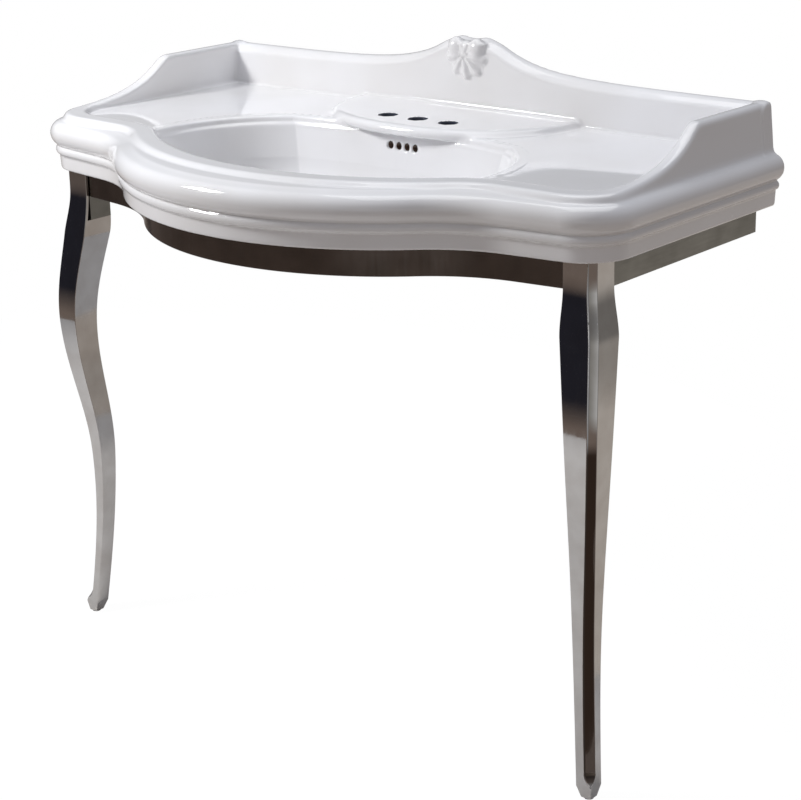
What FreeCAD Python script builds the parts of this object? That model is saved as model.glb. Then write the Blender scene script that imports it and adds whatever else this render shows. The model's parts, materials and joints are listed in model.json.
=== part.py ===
"""Console basin on a two-legged metal stand.

A one-piece glazed ceramic basin with a shaped backsplash, low side splashes and a
serpentine moulded skirt rests on a polished steel frame. The frame is a serpentine front
apron, two side rails, a rear rail against the wall and two corner blocks. A curved leg
with a fluted outer corner hangs on each block, and the wall carries the back.

Millimetres. +Z is up, +X is to the right seen from the front and the wall is at +Y.
The origin is on the floor, under the middle of the basin.
"""
import FreeCAD, Part
import math
import os
import re
from FreeCAD import Placement, Rotation, Vector

doc = FreeCAD.newDocument("ConsoleBasin")

# ---------------------------------------------------------------- driving dimensions
DIMENSIONS = [
    ("Plan of the skirt's bottom edge", None),
    ("WallPlane", 297.0),
    ("SkirtHalfWidth", 516.5),
    ("SkirtFront", 283.5),
    ("BowProjection", 171.5),
    ("BowRadius", 410.0),
    ("HollowRadius", 200.0),
    ("ShoulderSlope", 8.0),
    ("CornerRadius", 65.0),
    ("Heights", None),
    ("SkirtBottom", 741.0),
    ("DeckHeight", 818.0),
    ("RimHeight", 822.0),
    ("SplashTop", 882.0),
    ("CrestTop", 931.0),
    ("Moulding of the skirt: heights are above its bottom edge", None),
    ("EdgeBevel", 3.5),
    ("PlinthRise", 23.0),
    ("BandProud", 6.8),
    ("BandRise", 34.0),
    ("QuirkProud", 4.5),
    ("QuirkRise", 37.0),
    ("RollProud", 13.3),
    ("RollRise", 54.0),
    ("CreaseInset", 8.0),
    ("CreaseRise", 75.0),
    ("Ceramic walls", None),
    ("CeramicWall", 15.0),
    ("LedgeWidth", 46.0),
    ("DeckThickness", 14.0),
    ("BackWall", 25.0),
    ("SideWall", 29.5),
    ("Recess inside the rim", None),
    ("RecessFront", 206.0),
    ("RecessBow", 130.0),
    ("RecessBowRadius", 430.0),
    ("RecessHollowRadius", 150.0),
    ("RecessSlope", 2.0),
    ("RecessCornerRadius", 50.0),
    ("Backsplash", None),
    ("CrestHalfWidth", 30.0),
    ("ScrollHalfWidth", 52.0),
    ("ScrollDrop", 12.0),
    ("HollowHalfWidth", 150.0),
    ("HollowLift", 8.0),
    ("SweepHalfWidth", 290.0),
    ("TopBevel", 9.0),
    ("Side splash", None),
    ("SwoopStart", 122.0),
    ("SwoopShoulder", 112.0),
    ("SwoopShoulderDrop", 3.0),
    ("SwoopMiddle", 60.0),
    ("SwoopMiddleLift", 24.0),
    ("SwoopToe", 10.0),
    ("SwoopToeLift", 7.6),
    ("SwoopEnd", 64.0),
    ("Bowl", None),
    ("BowlSideRadius", 200.0),
    ("BowlSideX", 84.0),
    ("BowlSideY", 50.0),
    ("BowlBack", 120.0),
    ("BowlBackRadius", 446.0),
    ("BowlTipRadius", 30.0),
    ("BowlCornerRadius", 20.0),
    ("BowlRimDepth", 13.0),
    ("BowlRimStep", 4.5),
    ("BowlDepth", 148.0),
    ("BowlWallDepth", 62.0),
    ("BowlLean", 0.05),
    ("BowlTurn", 0.50),
    ("BowlGlaze", 12.0),
    ("DrainBore", 45.0),
    ("DrainBoss", 84.0),
    ("DrainBossDrop", 20.0),
    ("DrainSetback", 18.0),
    ("Tap platform", None),
    ("PlatformHeight", 828.0),
    ("PlatformLip", 17.0),
    ("PlatformHalfWidth", 208.0),
    ("PlatformFront", 97.0),
    ("PlatformBowRadius", 330.0),
    ("PlatformCornerRadius", 130.0),
    ("PlatformEdge", 5.0),
    ("TapBore", 28.0),
    ("TapSpacing", 57.0),
    ("TapLine", 153.0),
    ("OverflowBore", 11.0),
    ("OverflowPitch", 15.5),
    ("OverflowHeight", 792.0),
    ("HangerBore", 14.0),
    ("HangerSpacing", 560.0),
    ("HangerHeight", 781.0),
    ("Shell ornament", None),
    ("ShellHeight", 906.0),
    ("ShellReach", 37.0),
    ("ShellProud", 10.0),
    ("ShellLobes", 9.0),
    ("ScrollRadius", 12.5),
    ("ScrollOffset", 19.0),
    ("ScrollLift", 8.0),
    ("Stand", None),
    ("SideInset", 30.0),
    ("FrontInset", 27.0),
    ("FrameHeight", 39.5),
    ("ApronThickness", 5.0),
    ("RailWidth", 20.0),
    ("RailWall", 2.0),
    ("PadThickness", 2.0),
    ("PadLength", 40.0),
    ("PadWidth", 14.0),
    ("PlateThickness", 3.0),
    ("ScrewBore", 9.0),
    ("WallScrewSpacing", 700.0),
    ("BlockSize", 40.0),
    ("BlockWall", 3.0),
    ("BlockFloor", 5.0),
    ("BlockBottom", 663.0),
    ("Legs", None),
    ("LegShoulder", 54.6),
    ("LegAnkle", 24.6),
    ("LegTaper", 0.068),
    ("TaperStart", 199.0),
    ("TaperEase", 60.0),
    ("KneeTop", 720.0),
    ("KneeHeight", 500.0),
    ("KneeOut", 27.6),
    ("AnkleHeight", 275.0),
    ("AnkleOut", 8.4),
    ("FootOut", 36.0),
    ("FluteTop", 9.4),
    ("FluteFoot", 12.0),
    ("FluteDepth", 0.56),
    ("LegSkin", 6.0),
    ("NotchGap", 4.0),
    ("NotchDrop", 5.0),
    ("FootBevel", 16.0),
    ("SoleWidth", 16.0),
    ("GlideThickness", 2.0),
    ("GlideDiameter", 13.0),
    ("BoltDiameter", 10.0),
    ("BoltLength", 45.0),
    ("BoltHeadWidth", 17.0),
    ("BoltHeadHeight", 6.4),
    ("WasherDiameter", 24.0),
    ("WasherThickness", 2.0),
    ("BoltClearance", 0.3),
]
ALIASES = {name for name, value in DIMENSIONS if value is not None}

sheet = doc.addObject("Spreadsheet::Sheet", "Dimensions")
for row, (name, value) in enumerate(DIMENSIONS, start=1):
    sheet.set(f"A{row}", name)
    if value is not None:
        sheet.set(f"B{row}", str(value))
        sheet.setAlias(f"B{row}", name)
doc.recompute()


def size(name):
    """Return the value of one driving dimension in the sheet."""
    return float(sheet.get(name))


def cell(text):
    """Turn dimension names in an expression into cells of the sheet."""
    return re.sub(r"[A-Za-z]+", lambda word: f"Dimensions.{word[0]}"
                  if word[0] in ALIASES else word[0], text)


def bind(target, **expressions):
    """Tie properties of an object to expressions of the sheet."""
    for name, expression in expressions.items():
        target.setExpression(name, cell(expression))


def bind_place(target, x, y, z):
    """Tie an object's place to three expressions of the sheet."""
    for axis, expression in zip("xyz", (x, y, z)):
        target.setExpression(f"Placement.Base.{axis}", cell(expression))


def feature(name, shape):
    """Add a piece whose shape is worked out with Part's functions."""
    made = doc.addObject("Part::Feature", name)
    made.Label = name
    made.Shape = shape
    made.Placement = Placement()
    return made


def box(name, length, width, height, x, y, z):
    """Add a box whose sizes and place are expressions of the sheet."""
    made = doc.addObject("Part::Box", name)
    made.Label = name
    bind(made, Length=length, Width=width, Height=height)
    bind_place(made, x, y, z)
    return made


def cylinder(name, radius, length, x, y, z, axis=Vector(0, 0, 1)):
    """Add a cylinder along an axis, sized and placed by expressions of the sheet."""
    made = doc.addObject("Part::Cylinder", name)
    made.Label = name
    made.Placement = Placement(Vector(0, 0, 0), Rotation(Vector(0, 0, 1), axis))
    bind(made, Radius=radius, Height=length)
    bind_place(made, x, y, z)
    return made


def cut(name, base, tool):
    """Add a cut of one object from another."""
    made = doc.addObject("Part::Cut", name)
    made.Label = name
    made.Base = base
    made.Tool = tool
    return made


def fuse(name, shapes):
    """Add a union of objects."""
    made = doc.addObject("Part::MultiFuse", name)
    made.Label = name
    made.Shapes = shapes
    return made


def group(name, members):
    """Add a compound that keeps its members as separate solids."""
    made = doc.addObject("Part::Compound", name)
    made.Label = name
    made.Links = members
    return made


def mirror_image(name, source):
    """Add the mirror image of an object across the middle plane."""
    made = doc.addObject("Part::Mirroring", name)
    made.Label = name
    made.Source = source
    made.Normal = Vector(1, 0, 0)
    return made


# ---------------------------------------------------------------- plan outlines
MIDDLE = Vector(0, 0, 0)
ACROSS = Vector(1, 0, 0)


def mirrored(point):
    """Return a point's mirror image across the middle plane."""
    return Vector(-point.x, point.y, point.z)


def both_halves(edges):
    """Return edges of the right half with their mirror images."""
    return edges + [edge.mirror(MIDDLE, ACROSS) for edge in edges]


def outline(edges):
    """Join edges, given in any order, into one wire."""
    return Part.Wire(Part.__sortEdges__(edges))


def line(start, end):
    """Return a straight edge."""
    return Part.makeLine(start, end)


def arc(start, middle, end):
    """Return a circular edge through three points."""
    return Part.Arc(start, middle, end).toShape()


def polygon(points):
    """Return a closed face through points."""
    return Part.Face(Part.makePolygon(list(points) + [points[0]]))


class Plan:
    """A serpentine plan outline of tangent arcs and lines, which can be offset.

    From the wall it runs forward along a straight side, round a corner, in along a
    sloping shoulder, through a hollow and round the bow in the middle.
    """

    def __init__(self, half_width, front, bow, bow_radius, hollow_radius, slope, corner_radius):
        self.half_width = half_width
        self.bow_radius = bow_radius
        self.hollow_radius = hollow_radius
        self.corner_radius = corner_radius
        angle = math.radians(slope)
        self.along = Vector(math.cos(angle), math.sin(angle), 0)
        self.outward = Vector(math.sin(angle), -math.cos(angle), 0)
        self.corner = Vector(half_width, bow - front, 0)
        self.bow_centre = Vector(0, bow_radius - front, 0)
        shoulder_y = self.corner.y - corner_radius * math.tan(angle)
        self.corner_centre = Vector(half_width - corner_radius,
                                    shoulder_y + corner_radius / math.cos(angle), 0)
        start = self.corner + self.outward * hollow_radius - self.bow_centre
        reach = bow_radius + hollow_radius
        half = -start.dot(self.along)
        run = -half - math.sqrt(half * half - start.dot(start) + reach * reach)
        self.hollow_centre = self.bow_centre + start - self.along * run

    def stations(self, offset):
        """Return the tangent points of the right half, from the bow to the side."""
        to_hollow = (self.hollow_centre - self.bow_centre).normalize()
        bow_end = self.bow_centre + to_hollow * (self.bow_radius + offset)
        shoulder = self.hollow_centre - self.outward * (self.hollow_radius - offset)
        corner_in = self.corner_centre + self.outward * (self.corner_radius + offset)
        corner_out = self.corner_centre + ACROSS * (self.corner_radius + offset)
        return bow_end, shoulder, corner_in, corner_out

    def hollow(self, offset):
        """Return the hollow's arc, from the bow to the shoulder."""
        bow_end, shoulder, _, _ = self.stations(offset)
        centre = self.hollow_centre
        towards = (bow_end - centre).normalize() + (shoulder - centre).normalize()
        middle = centre + towards.normalize() * (self.hollow_radius - offset)
        return arc(bow_end, middle, shoulder)

    def bow(self, offset):
        """Return the arc round the middle."""
        bow_end = self.stations(offset)[0]
        front = self.bow_centre - Vector(0, self.bow_radius + offset, 0)
        return arc(mirrored(bow_end), front, bow_end)

    def corner_arc(self, offset):
        """Return the arc round the corner."""
        _, _, corner_in, corner_out = self.stations(offset)
        towards = (self.outward + ACROSS).normalize()
        middle = self.corner_centre + towards * (self.corner_radius + offset)
        return arc(corner_in, middle, corner_out)

    def path(self, offset, height, back):
        """Return the open outline at a height, whose sides end at a distance back."""
        _, shoulder, corner_in, corner_out = self.stations(offset)
        right = [
            self.hollow(offset),
            line(shoulder, corner_in),
            self.corner_arc(offset),
            line(corner_out, Vector(corner_out.x, back, 0)),
        ]
        whole = outline(both_halves(right) + [self.bow(offset)])
        return whole.translated(Vector(0, 0, height))

    def region(self, offset, height, back):
        """Return the closed face inside the outline, cut off square at the back."""
        reach = self.half_width + offset
        closing = line(Vector(reach, back, height), Vector(-reach, back, height))
        return Part.Face(outline(self.path(offset, height, back).Edges + [closing]))

    def shoulder_y(self, across, inset):
        """Return how far back the shoulder's line lies at a distance from the middle."""
        return self.corner.y + ((across - self.half_width) * self.along.y
                                + inset) / self.along.x


WALL = size("WallPlane")
BOTTOM = size("SkirtBottom")
DECK = size("DeckHeight")
RIM = size("RimHeight")
UNDERSIDE = DECK - size("DeckThickness")
BACK_FACE = WALL - size("BackWall")
INNER_SIDE = size("SkirtHalfWidth") - size("SideWall")
DRAIN = Vector(0, -size("DrainSetback"), 0)

skirt_plan = Plan(
    size("SkirtHalfWidth"), size("SkirtFront"), size("BowProjection"), size("BowRadius"),
    size("HollowRadius"), size("ShoulderSlope"), size("CornerRadius"))
recess_plan = Plan(
    INNER_SIDE, size("RecessFront"), size("RecessBow"), size("RecessBowRadius"),
    size("RecessHollowRadius"), size("RecessSlope"), size("RecessCornerRadius"))


# ---------------------------------------------------------------- basin
def rim_profile():
    """Return the rim's section at the right side, where its moulding faces +X.

    From the bottom edge up: a plain plinth, a small band, a bold half-round roll and a top
    that rises to the rim. Inside are the skirt's wall and the ledge that sits on the stand.
    """
    edge = size("SkirtHalfWidth")
    wall = size("CeramicWall")
    ledge = size("LedgeWidth")
    bevel = size("EdgeBevel")

    def at(proud, height):
        return Vector(edge + proud, WALL, height)

    def rise(name):
        return BOTTOM + size(name)

    quirk = at(size("QuirkProud"), rise("QuirkRise"))
    roll = at(size("RollProud"), rise("RollRise"))
    crease = at(-size("CreaseInset"), rise("CreaseRise"))
    section = [
        at(-ledge, BOTTOM), at(-bevel, BOTTOM), at(0, BOTTOM + bevel),
        at(0, rise("PlinthRise")), at(size("BandProud") - bevel, rise("PlinthRise")),
        at(size("BandProud"), rise("BandRise")), quirk, None,
        crease, at(-size("SideWall"), RIM), at(-ledge, RIM), at(-ledge, UNDERSIDE),
        at(-wall, UNDERSIDE), at(-wall, BOTTOM + wall), at(-ledge, BOTTOM + wall),
        at(-ledge, BOTTOM),
    ]
    edges = [line(a, b) for a, b in zip(section, section[1:]) if a and b]
    return outline(edges + [arc(quirk, roll, crease)])


def rim_ring():
    """Carry the rim's section round the plan of the skirt, from the right end."""
    sweep = Part.BRepOffsetAPI.MakePipeShell(skirt_plan.path(0, BOTTOM, WALL))
    sweep.setBiNormalMode(Vector(0, 0, 1))
    sweep.add(rim_profile(), False, False)
    sweep.build()
    sweep.makeSolid()
    return sweep.shape()


def backsplash():
    """Return the back wall: level ends sweep up to a rounded crest, with a bevelled top."""
    half = size("SkirtHalfWidth") - size("CeramicWall")
    top = size("SplashTop")
    scroll_z = size("CrestTop") - size("ScrollDrop")

    def at(across, height):
        return Vector(across, WALL, height)

    crest = arc(at(-size("ScrollHalfWidth"), scroll_z), at(0, size("CrestTop")),
                at(size("ScrollHalfWidth"), scroll_z))
    right = [
        arc(at(size("ScrollHalfWidth"), scroll_z),
            at(size("HollowHalfWidth"), top + size("HollowLift")),
            at(size("SweepHalfWidth"), top)),
        line(at(size("SweepHalfWidth"), top), at(half, top)),
        line(at(half, top), at(half, BOTTOM)),
    ]
    bottom = line(at(-half, BOTTOM), at(half, BOTTOM))
    face = Part.Face(outline(both_halves(right) + [crest, bottom]))
    plate = face.extrude(Vector(0, -size("BackWall"), 0))
    front_top = [edge for edge in plate.Edges
                 if edge.BoundBox.YMax < WALL - 1 and edge.BoundBox.ZMin > top - 1]
    return plate.makeChamfer(size("TopBevel"), front_top)


def side_splash():
    """Return the right side splash: a leaning wall whose top swoops down to the rim."""
    half = size("SkirtHalfWidth")
    top = size("SplashTop")
    front = -size("SwoopEnd")
    crease = BOTTOM + size("CreaseRise")
    inset = size("CreaseInset")
    lean = polygon([
        Vector(INNER_SIDE, front, UNDERSIDE),
        Vector(half, front, UNDERSIDE),
        Vector(half - inset / 2, front, crease),
        Vector(half - inset, front, top - inset),
        Vector(half - 2 * inset, front, top),
        Vector(INNER_SIDE, front, top),
    ]).extrude(Vector(0, WALL - front, 0))

    def at(along, height):
        return Vector(INNER_SIDE, along, height)

    hip = at(size("SwoopStart"), top)
    shoulder = at(size("SwoopShoulder"), top - size("SwoopShoulderDrop"))
    middle = at(size("SwoopMiddle"), RIM + size("SwoopMiddleLift"))
    toe = at(-size("SwoopToe"), RIM + size("SwoopToeLift"))
    end = at(front, RIM)
    corners = [at(front, UNDERSIDE), at(WALL, UNDERSIDE), at(WALL, top)]
    swoop = outline([
        line(hip, shoulder), arc(shoulder, middle, toe), line(toe, end), line(end, corners[0]),
        line(corners[0], corners[1]), line(corners[1], corners[2]), line(corners[2], hip)])
    return lean.common(Part.Face(swoop).extrude(ACROSS * size("SideWall")))


def meeting(first, first_radius, second, second_radius, turn):
    """Return where two circles in plan cross, on the side that turn names (1 or -1)."""
    between = second - first
    span = between.Length
    share = (first_radius ** 2 - second_radius ** 2 + span ** 2) / (2 * span ** 2)
    height = math.sqrt(first_radius ** 2 - (share * span) ** 2) / span
    return first + between * share + Vector(-between.y, between.x, 0) * turn * height


class BowlPlan:
    """The bowl's outline: a bowed front, a wide arc at each side and a back that bows in.

    The front's arc is concentric with the rim's bow. A tight arc rounds the tip where it
    meets a side's arc, and another rounds the corner where the side meets the back.
    """

    def __init__(self):
        self.bow = recess_plan.bow_centre
        self.bow_radius = size("RecessBowRadius")
        self.side = Vector(size("BowlSideX"), -size("BowlSideY"), 0)
        self.side_radius = size("BowlSideRadius")
        self.back_radius = size("BowlBackRadius")
        self.back = Vector(0, size("BowlBack") + self.back_radius, 0)
        self.tip_radius = size("BowlTipRadius")
        self.corner_radius = size("BowlCornerRadius")
        self.tip = meeting(self.bow, self.bow_radius - self.tip_radius,
                           self.side, self.side_radius - self.tip_radius, 1)
        self.corner = meeting(self.side, self.side_radius - self.corner_radius,
                              self.back, self.back_radius + self.corner_radius, -1)

    def ring(self, grow, scale, height):
        """Return the outline grown outward, then scaled about the drain, at a height."""

        def beyond(start, centre, reach):
            return centre + (centre - start).normalize() * reach

        bow_end = beyond(self.bow, self.tip, self.tip_radius + grow)
        side_start = beyond(self.side, self.tip, self.tip_radius + grow)
        side_end = beyond(self.side, self.corner, self.corner_radius + grow)
        to_back = Vector(self.back - self.corner).normalize()
        back_start = self.corner + to_back * (self.corner_radius + grow)
        tip_middle = beyond(DRAIN, self.tip, self.tip_radius + grow)
        towards = Vector(side_end - self.corner) + Vector(back_start - self.corner)
        corner_middle = self.corner + towards.normalize() * (self.corner_radius + grow)
        side_middle = self.side + ACROSS * (self.side_radius + grow)
        right = [
            arc(bow_end, tip_middle, side_start),
            arc(side_start, side_middle, side_end),
            arc(side_end, corner_middle, back_start),
        ]
        front = self.bow - Vector(0, self.bow_radius + grow, 0)
        back = self.back - Vector(0, self.back_radius - grow, 0)
        bow = arc(mirrored(bow_end), front, bow_end)
        rear = arc(mirrored(back_start), back, back_start)
        whole = outline([bow] + both_halves(right) + [rear])
        whole.translate(-DRAIN)
        whole.scale(scale)
        whole.translate(DRAIN + Vector(0, 0, height))
        return whole


bowl_plan = BowlPlan()


def bowl_form(grow, top, floor, steps):
    """Return the bowl's form between two heights, grown outward by a wall.

    The wall leans in steadily and then turns into the floor along a quarter ellipse, in
    steps.
    """
    knee = RIM - size("BowlWallDepth")
    leaned = 1 - size("BowlLean")
    rings = [bowl_plan.ring(grow, 1, top)]
    for step in range(steps + 1):
        angle = math.pi / 2 * step / steps
        scale = leaned - size("BowlTurn") * (1 - math.cos(angle))
        rings.append(bowl_plan.ring(grow, scale, knee - (knee - floor) * math.sin(angle)))
    return Part.makeLoft(rings, True, True)


def bowl_rim():
    """Return the short upright wall at the bowl's rim, as a solid to cut away."""
    depth = size("BowlRimDepth") + size("CrestTop") - RIM
    ring = bowl_plan.ring(0, 1, RIM - size("BowlRimDepth"))
    return Part.Face(ring).extrude(Vector(0, 0, depth))


def tap_platform():
    """Return the raised, bow-fronted tap platform with a bevelled lip over the bowl."""
    half = size("PlatformHalfWidth")
    bow_radius = size("PlatformBowRadius")
    corner_radius = size("PlatformCornerRadius")
    low = size("PlatformHeight") - size("PlatformLip")
    bow = Vector(0, size("PlatformFront") + bow_radius, low)
    across = half - corner_radius
    reach = bow_radius - corner_radius
    corner = Vector(across, bow.y - math.sqrt(reach ** 2 - across ** 2), low)
    towards = (corner - bow).normalize()
    bow_end = corner + towards * corner_radius
    corner_middle = corner + (towards + ACROSS).normalize() * corner_radius
    side = corner + ACROSS * corner_radius
    back = Vector(half, WALL - size("BackWall") / 2, low)
    right = [arc(bow_end, corner_middle, side), line(side, back)]
    front = arc(mirrored(bow_end), bow - Vector(0, bow_radius, 0), bow_end)
    plan = outline(both_halves(right) + [front, line(back, mirrored(back))])
    slab = Part.Face(plan).extrude(Vector(0, 0, size("PlatformLip")))
    lip = [edge for edge in slab.Edges
           if edge.BoundBox.ZMin > low + 1 and edge.BoundBox.YMin < side.y - 1]
    return slab.makeChamfer(size("PlatformEdge"), lip)


def shell_ornament():
    """Return the scallop shell: a fan with a lobed edge under two scrolls.

    The fan's edge is a row of equal arcs about its hub. A smaller copy of the edge stands
    proud of the wall, and the fan's surface runs straight from one to the other.
    """
    hub = Vector(0, BACK_FACE, size("ShellHeight"))
    reach = size("ShellReach")
    lobes = int(size("ShellLobes"))
    sunk = Vector(0, size("BackWall") / 2, 0)

    def spot(turn, radius):
        return hub + Vector(math.sin(turn), 0, -math.cos(turn)) * radius

    def edge(shrink, shift):
        pitch = 2 * math.pi / lobes
        arcs = [arc(spot((k - 0.5) * pitch, reach * 0.93), spot(k * pitch, reach),
                    spot((k + 0.5) * pitch, reach * 0.93)) for k in range(lobes)]
        rim = outline(arcs)
        rim.translate(-hub)
        rim.scale(shrink)
        rim.translate(hub + shift)
        return rim

    proud = Vector(0, -size("ShellProud"), 0)
    fan = Part.makeLoft([edge(1, sunk), edge(1, proud * 0.2), edge(0.6, proud)], True, True)
    top = size("CrestTop") - size("ScrollDrop") / 2
    crop = Part.makeBox(4 * reach, 4 * reach, reach,
                        Vector(-2 * reach, BACK_FACE - 2 * reach, top))
    shape = fan.cut(crop)
    for side in (-1, 1):
        centre = hub + Vector(side * size("ScrollOffset"), 0, size("ScrollLift")) + sunk
        scroll = Part.makeCylinder(size("ScrollRadius"), sunk.y + size("ShellProud") + 2,
                                   centre, Vector(0, -1, 0))
        shape = shape.fuse(scroll)
    return shape


def moulded_basin():
    """Return the one-piece ceramic basin before its holes are punched."""
    boss_low = RIM - size("BowlDepth") - size("DrainBossDrop")
    right_side = side_splash()
    left_side = right_side.mirror(MIDDLE, ACROSS)
    slab = skirt_plan.region(-size("SideWall") - 1, UNDERSIDE, WALL - size("BackWall") / 2)
    slab = slab.extrude(Vector(0, 0, RIM - UNDERSIDE))
    recess = recess_plan.region(0, DECK, BACK_FACE)
    recess = recess.extrude(Vector(0, 0, size("CrestTop") - DECK))
    floor = RIM - size("BowlDepth")
    shell = bowl_form(size("BowlGlaze"), DECK - 1, floor - size("BowlGlaze"), 3)
    boss = Part.makeCylinder(size("DrainBoss") / 2, size("DrainBossDrop") + 1,
                             DRAIN + Vector(0, 0, boss_low))
    body = rim_ring().fuse([slab, shell])
    body = body.cut(recess)
    body = body.fuse([backsplash(), right_side, left_side, boss])
    hollow = bowl_form(-size("BowlRimStep"), RIM - size("BowlRimDepth") + 1, floor, 6)
    body = body.cut([bowl_rim(), hollow])
    body = body.fuse([tap_platform(), shell_ornament()])
    return body.Solids[0]


def basin_holes():
    """Return the holes: the drain, three for taps, two for wall bolts and the overflow."""
    into_wall = Vector(0, -1, 0)
    holes = [cylinder("drain_bore", "DrainBore / 2", "BowlDepth", "0", "-DrainSetback",
                      "RimHeight - BowlDepth - BowlDepth / 2")]
    for index, name in ((-1, "left"), (0, "centre"), (1, "right")):
        holes.append(cylinder(
            f"{name}_tap_bore", "TapBore / 2", "4 * DeckThickness",
            f"{index} * TapSpacing", "TapLine", "DeckHeight - 2 * DeckThickness"))
    for index in (-1, 1):
        holes.append(cylinder(
            f"wall_bolt_bore_{index + 2}", "HangerBore / 2", "BackWall + 2",
            f"{index} * HangerSpacing / 2", "WallPlane + 1", "HangerHeight", into_wall))
    for index in range(4):
        holes.append(cylinder(
            f"overflow_bore_{index + 1}", "OverflowBore / 2", "5 * BowlGlaze",
            f"{index - 1.5} * OverflowPitch", "BowlBack + 3 * BowlGlaze", "OverflowHeight",
            into_wall))
    return fuse("basin_bores", holes)


basin = cut("basin", feature("moulded_basin", moulded_basin()), basin_holes())


# ---------------------------------------------------------------- stand
FRAME_TOP = BOTTOM - size("PadThickness")
FRAME_LOW = FRAME_TOP - size("FrameHeight")
FRAME_SIDE = size("SkirtHalfWidth") - size("SideInset")
BLOCK_INNER = FRAME_SIDE - size("BlockSize")
BLOCK_FRONT = skirt_plan.shoulder_y(BLOCK_INNER, size("FrontInset"))

# The same places as expressions of the sheet
LOW_CELL = "(SkirtBottom - PadThickness - FrameHeight)"
TOP_CELL = "(SkirtBottom - PadThickness)"
SIDE_CELL = "(SkirtHalfWidth - SideInset)"
BLOCK_FRONT_CELL = ("(BowProjection - SkirtFront - (SideInset + BlockSize) * tan(ShoulderSlope)"
                    " + FrontInset / cos(ShoulderSlope))")
BLOCK_MIDDLE_CELL = f"({BLOCK_FRONT_CELL} + BlockSize / 2)"
RAIL_START_CELL = f"({BLOCK_FRONT_CELL} + BlockSize)"
SIDES = (("left", -1), ("right", 1))


def from_side(side, inset, width):
    """Return where a piece's low X edge is, if it lies in from the frame's outer face."""
    if side > 0:
        return f"({SIDE_CELL} - {inset} - {width})"
    return f"({inset} - {SIDE_CELL})"


def apron_plan():
    """Return the apron's plan: a strip that follows the skirt at a steady inset."""
    insets = (size("FrontInset"), size("FrontInset") + size("ApronThickness"))
    edges = []
    ends = []
    for inset in insets:
        shoulder = skirt_plan.stations(-inset)[1]
        end = Vector(BLOCK_INNER, skirt_plan.shoulder_y(BLOCK_INNER, inset), 0)
        edges += both_halves([skirt_plan.hollow(-inset), line(shoulder, end)])
        edges.append(skirt_plan.bow(-inset))
        ends.append(end)
    edges += both_halves([line(ends[0], ends[1])])
    return Part.Face(outline(edges))


front_apron = doc.addObject("Part::Extrusion", "front_apron")
front_apron.Label = "front_apron"
front_apron.Base = feature("apron_plan", apron_plan())
front_apron.DirMode = "Custom"
front_apron.Dir = Vector(0, 0, 1)
front_apron.Solid = True
bind(front_apron, LengthFwd="FrameHeight")
bind_place(front_apron, "0", "0", LOW_CELL)


def rectangular_tube(name, length, width, height, x, y, z, along):
    """Add an open-ended rectangular tube that runs along X or Y."""
    bore = {"X": width, "Y": length}[along] + " - 2 * RailWall"
    low = f"{height} - 2 * RailWall"
    outer = box(f"{name}_outer", length, width, height, x, y, z)
    if along == "X":
        inner = box(f"{name}_inner", length, bore, low, x, f"{y} + RailWall", f"{z} + RailWall")
    else:
        inner = box(f"{name}_inner", bore, width, low, f"{x} + RailWall", y, f"{z} + RailWall")
    return cut(name, outer, inner)


def corner_block(name, side):
    """Add one corner block: a square cup with a bolt hole through its floor."""
    x = from_side(side, "0", "BlockSize")
    high = f"({TOP_CELL} - BlockBottom)"
    bore_width = "BlockSize - 2 * BlockWall"
    outer = box(f"{name}_block_outer", "BlockSize", "BlockSize", high,
                x, BLOCK_FRONT_CELL, "BlockBottom")
    hollow = box(f"{name}_block_hollow", bore_width, bore_width, high, f"{x} + BlockWall",
                 f"{BLOCK_FRONT_CELL} + BlockWall", "BlockBottom + BlockFloor")
    bore = cylinder(f"{name}_block_bore", "BoltDiameter / 2 + BoltClearance",
                    "BlockFloor * 2", f"{x} + BlockSize / 2", BLOCK_MIDDLE_CELL,
                    "BlockBottom - BlockFloor / 2")
    cut(f"{name}_corner_block", outer, fuse(f"{name}_block_hollows", [hollow, bore]))


for name, side in SIDES:
    rail_x = from_side(side, "0", "RailWidth")
    rectangular_tube(
        f"{name}_side_rail", "RailWidth", f"(WallPlane - PlateThickness - {RAIL_START_CELL})",
        "FrameHeight", rail_x, RAIL_START_CELL, LOW_CELL, "Y")
    box(f"{name}_rail_end_plate", "RailWidth", "PlateThickness", "FrameHeight",
        rail_x, "WallPlane - PlateThickness", LOW_CELL)
    corner_block(name, side)

rear_tube = rectangular_tube(
    "rear_rail_tube", f"(2 * ({SIDE_CELL} - RailWidth))", "RailWidth", "FrameHeight",
    f"(RailWidth - {SIDE_CELL})", "(WallPlane - RailWidth)", LOW_CELL, "X")
screw_bores = [
    cylinder(f"{name}_wall_screw_bore", "ScrewBore / 2", "RailWidth + 2",
             f"{side} * WallScrewSpacing / 2", "WallPlane + 1",
             f"{LOW_CELL} + FrameHeight / 2", Vector(0, -1, 0))
    for name, side in SIDES]
cut("rear_rail", rear_tube, fuse("wall_screw_bores", screw_bores))


def cushion_pads(name, side):
    """Add one side's rubber pads, which lie between the frame and the basin's ledge."""
    on_rail = from_side(side, "(RailWidth - PadWidth) / 2", "PadWidth")
    block_pad = "(PadLength - BlockWall)"
    places = {
        "front": ("PadWidth", "PadLength", on_rail,
                  f"({RAIL_START_CELL} + PadLength / 2)"),
        "rear": ("PadWidth", "PadLength", on_rail,
                 "(WallPlane - BackWall - 3 * PadLength / 2)"),
        "wall": ("PadLength", "PadWidth", f"({side} * WallScrewSpacing / 2 - PadLength / 2)",
                 "(WallPlane - RailWidth / 2 - PadWidth / 2)"),
        "block": (block_pad, block_pad, from_side(side, "BlockWall / 2", block_pad),
                  f"({BLOCK_FRONT_CELL} + BlockWall / 2)"),
    }
    return [box(f"{name}_{spot}_pad", length, width, "PadThickness", x, y, TOP_CELL)
            for spot, (length, width, x, y) in places.items()]


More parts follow.
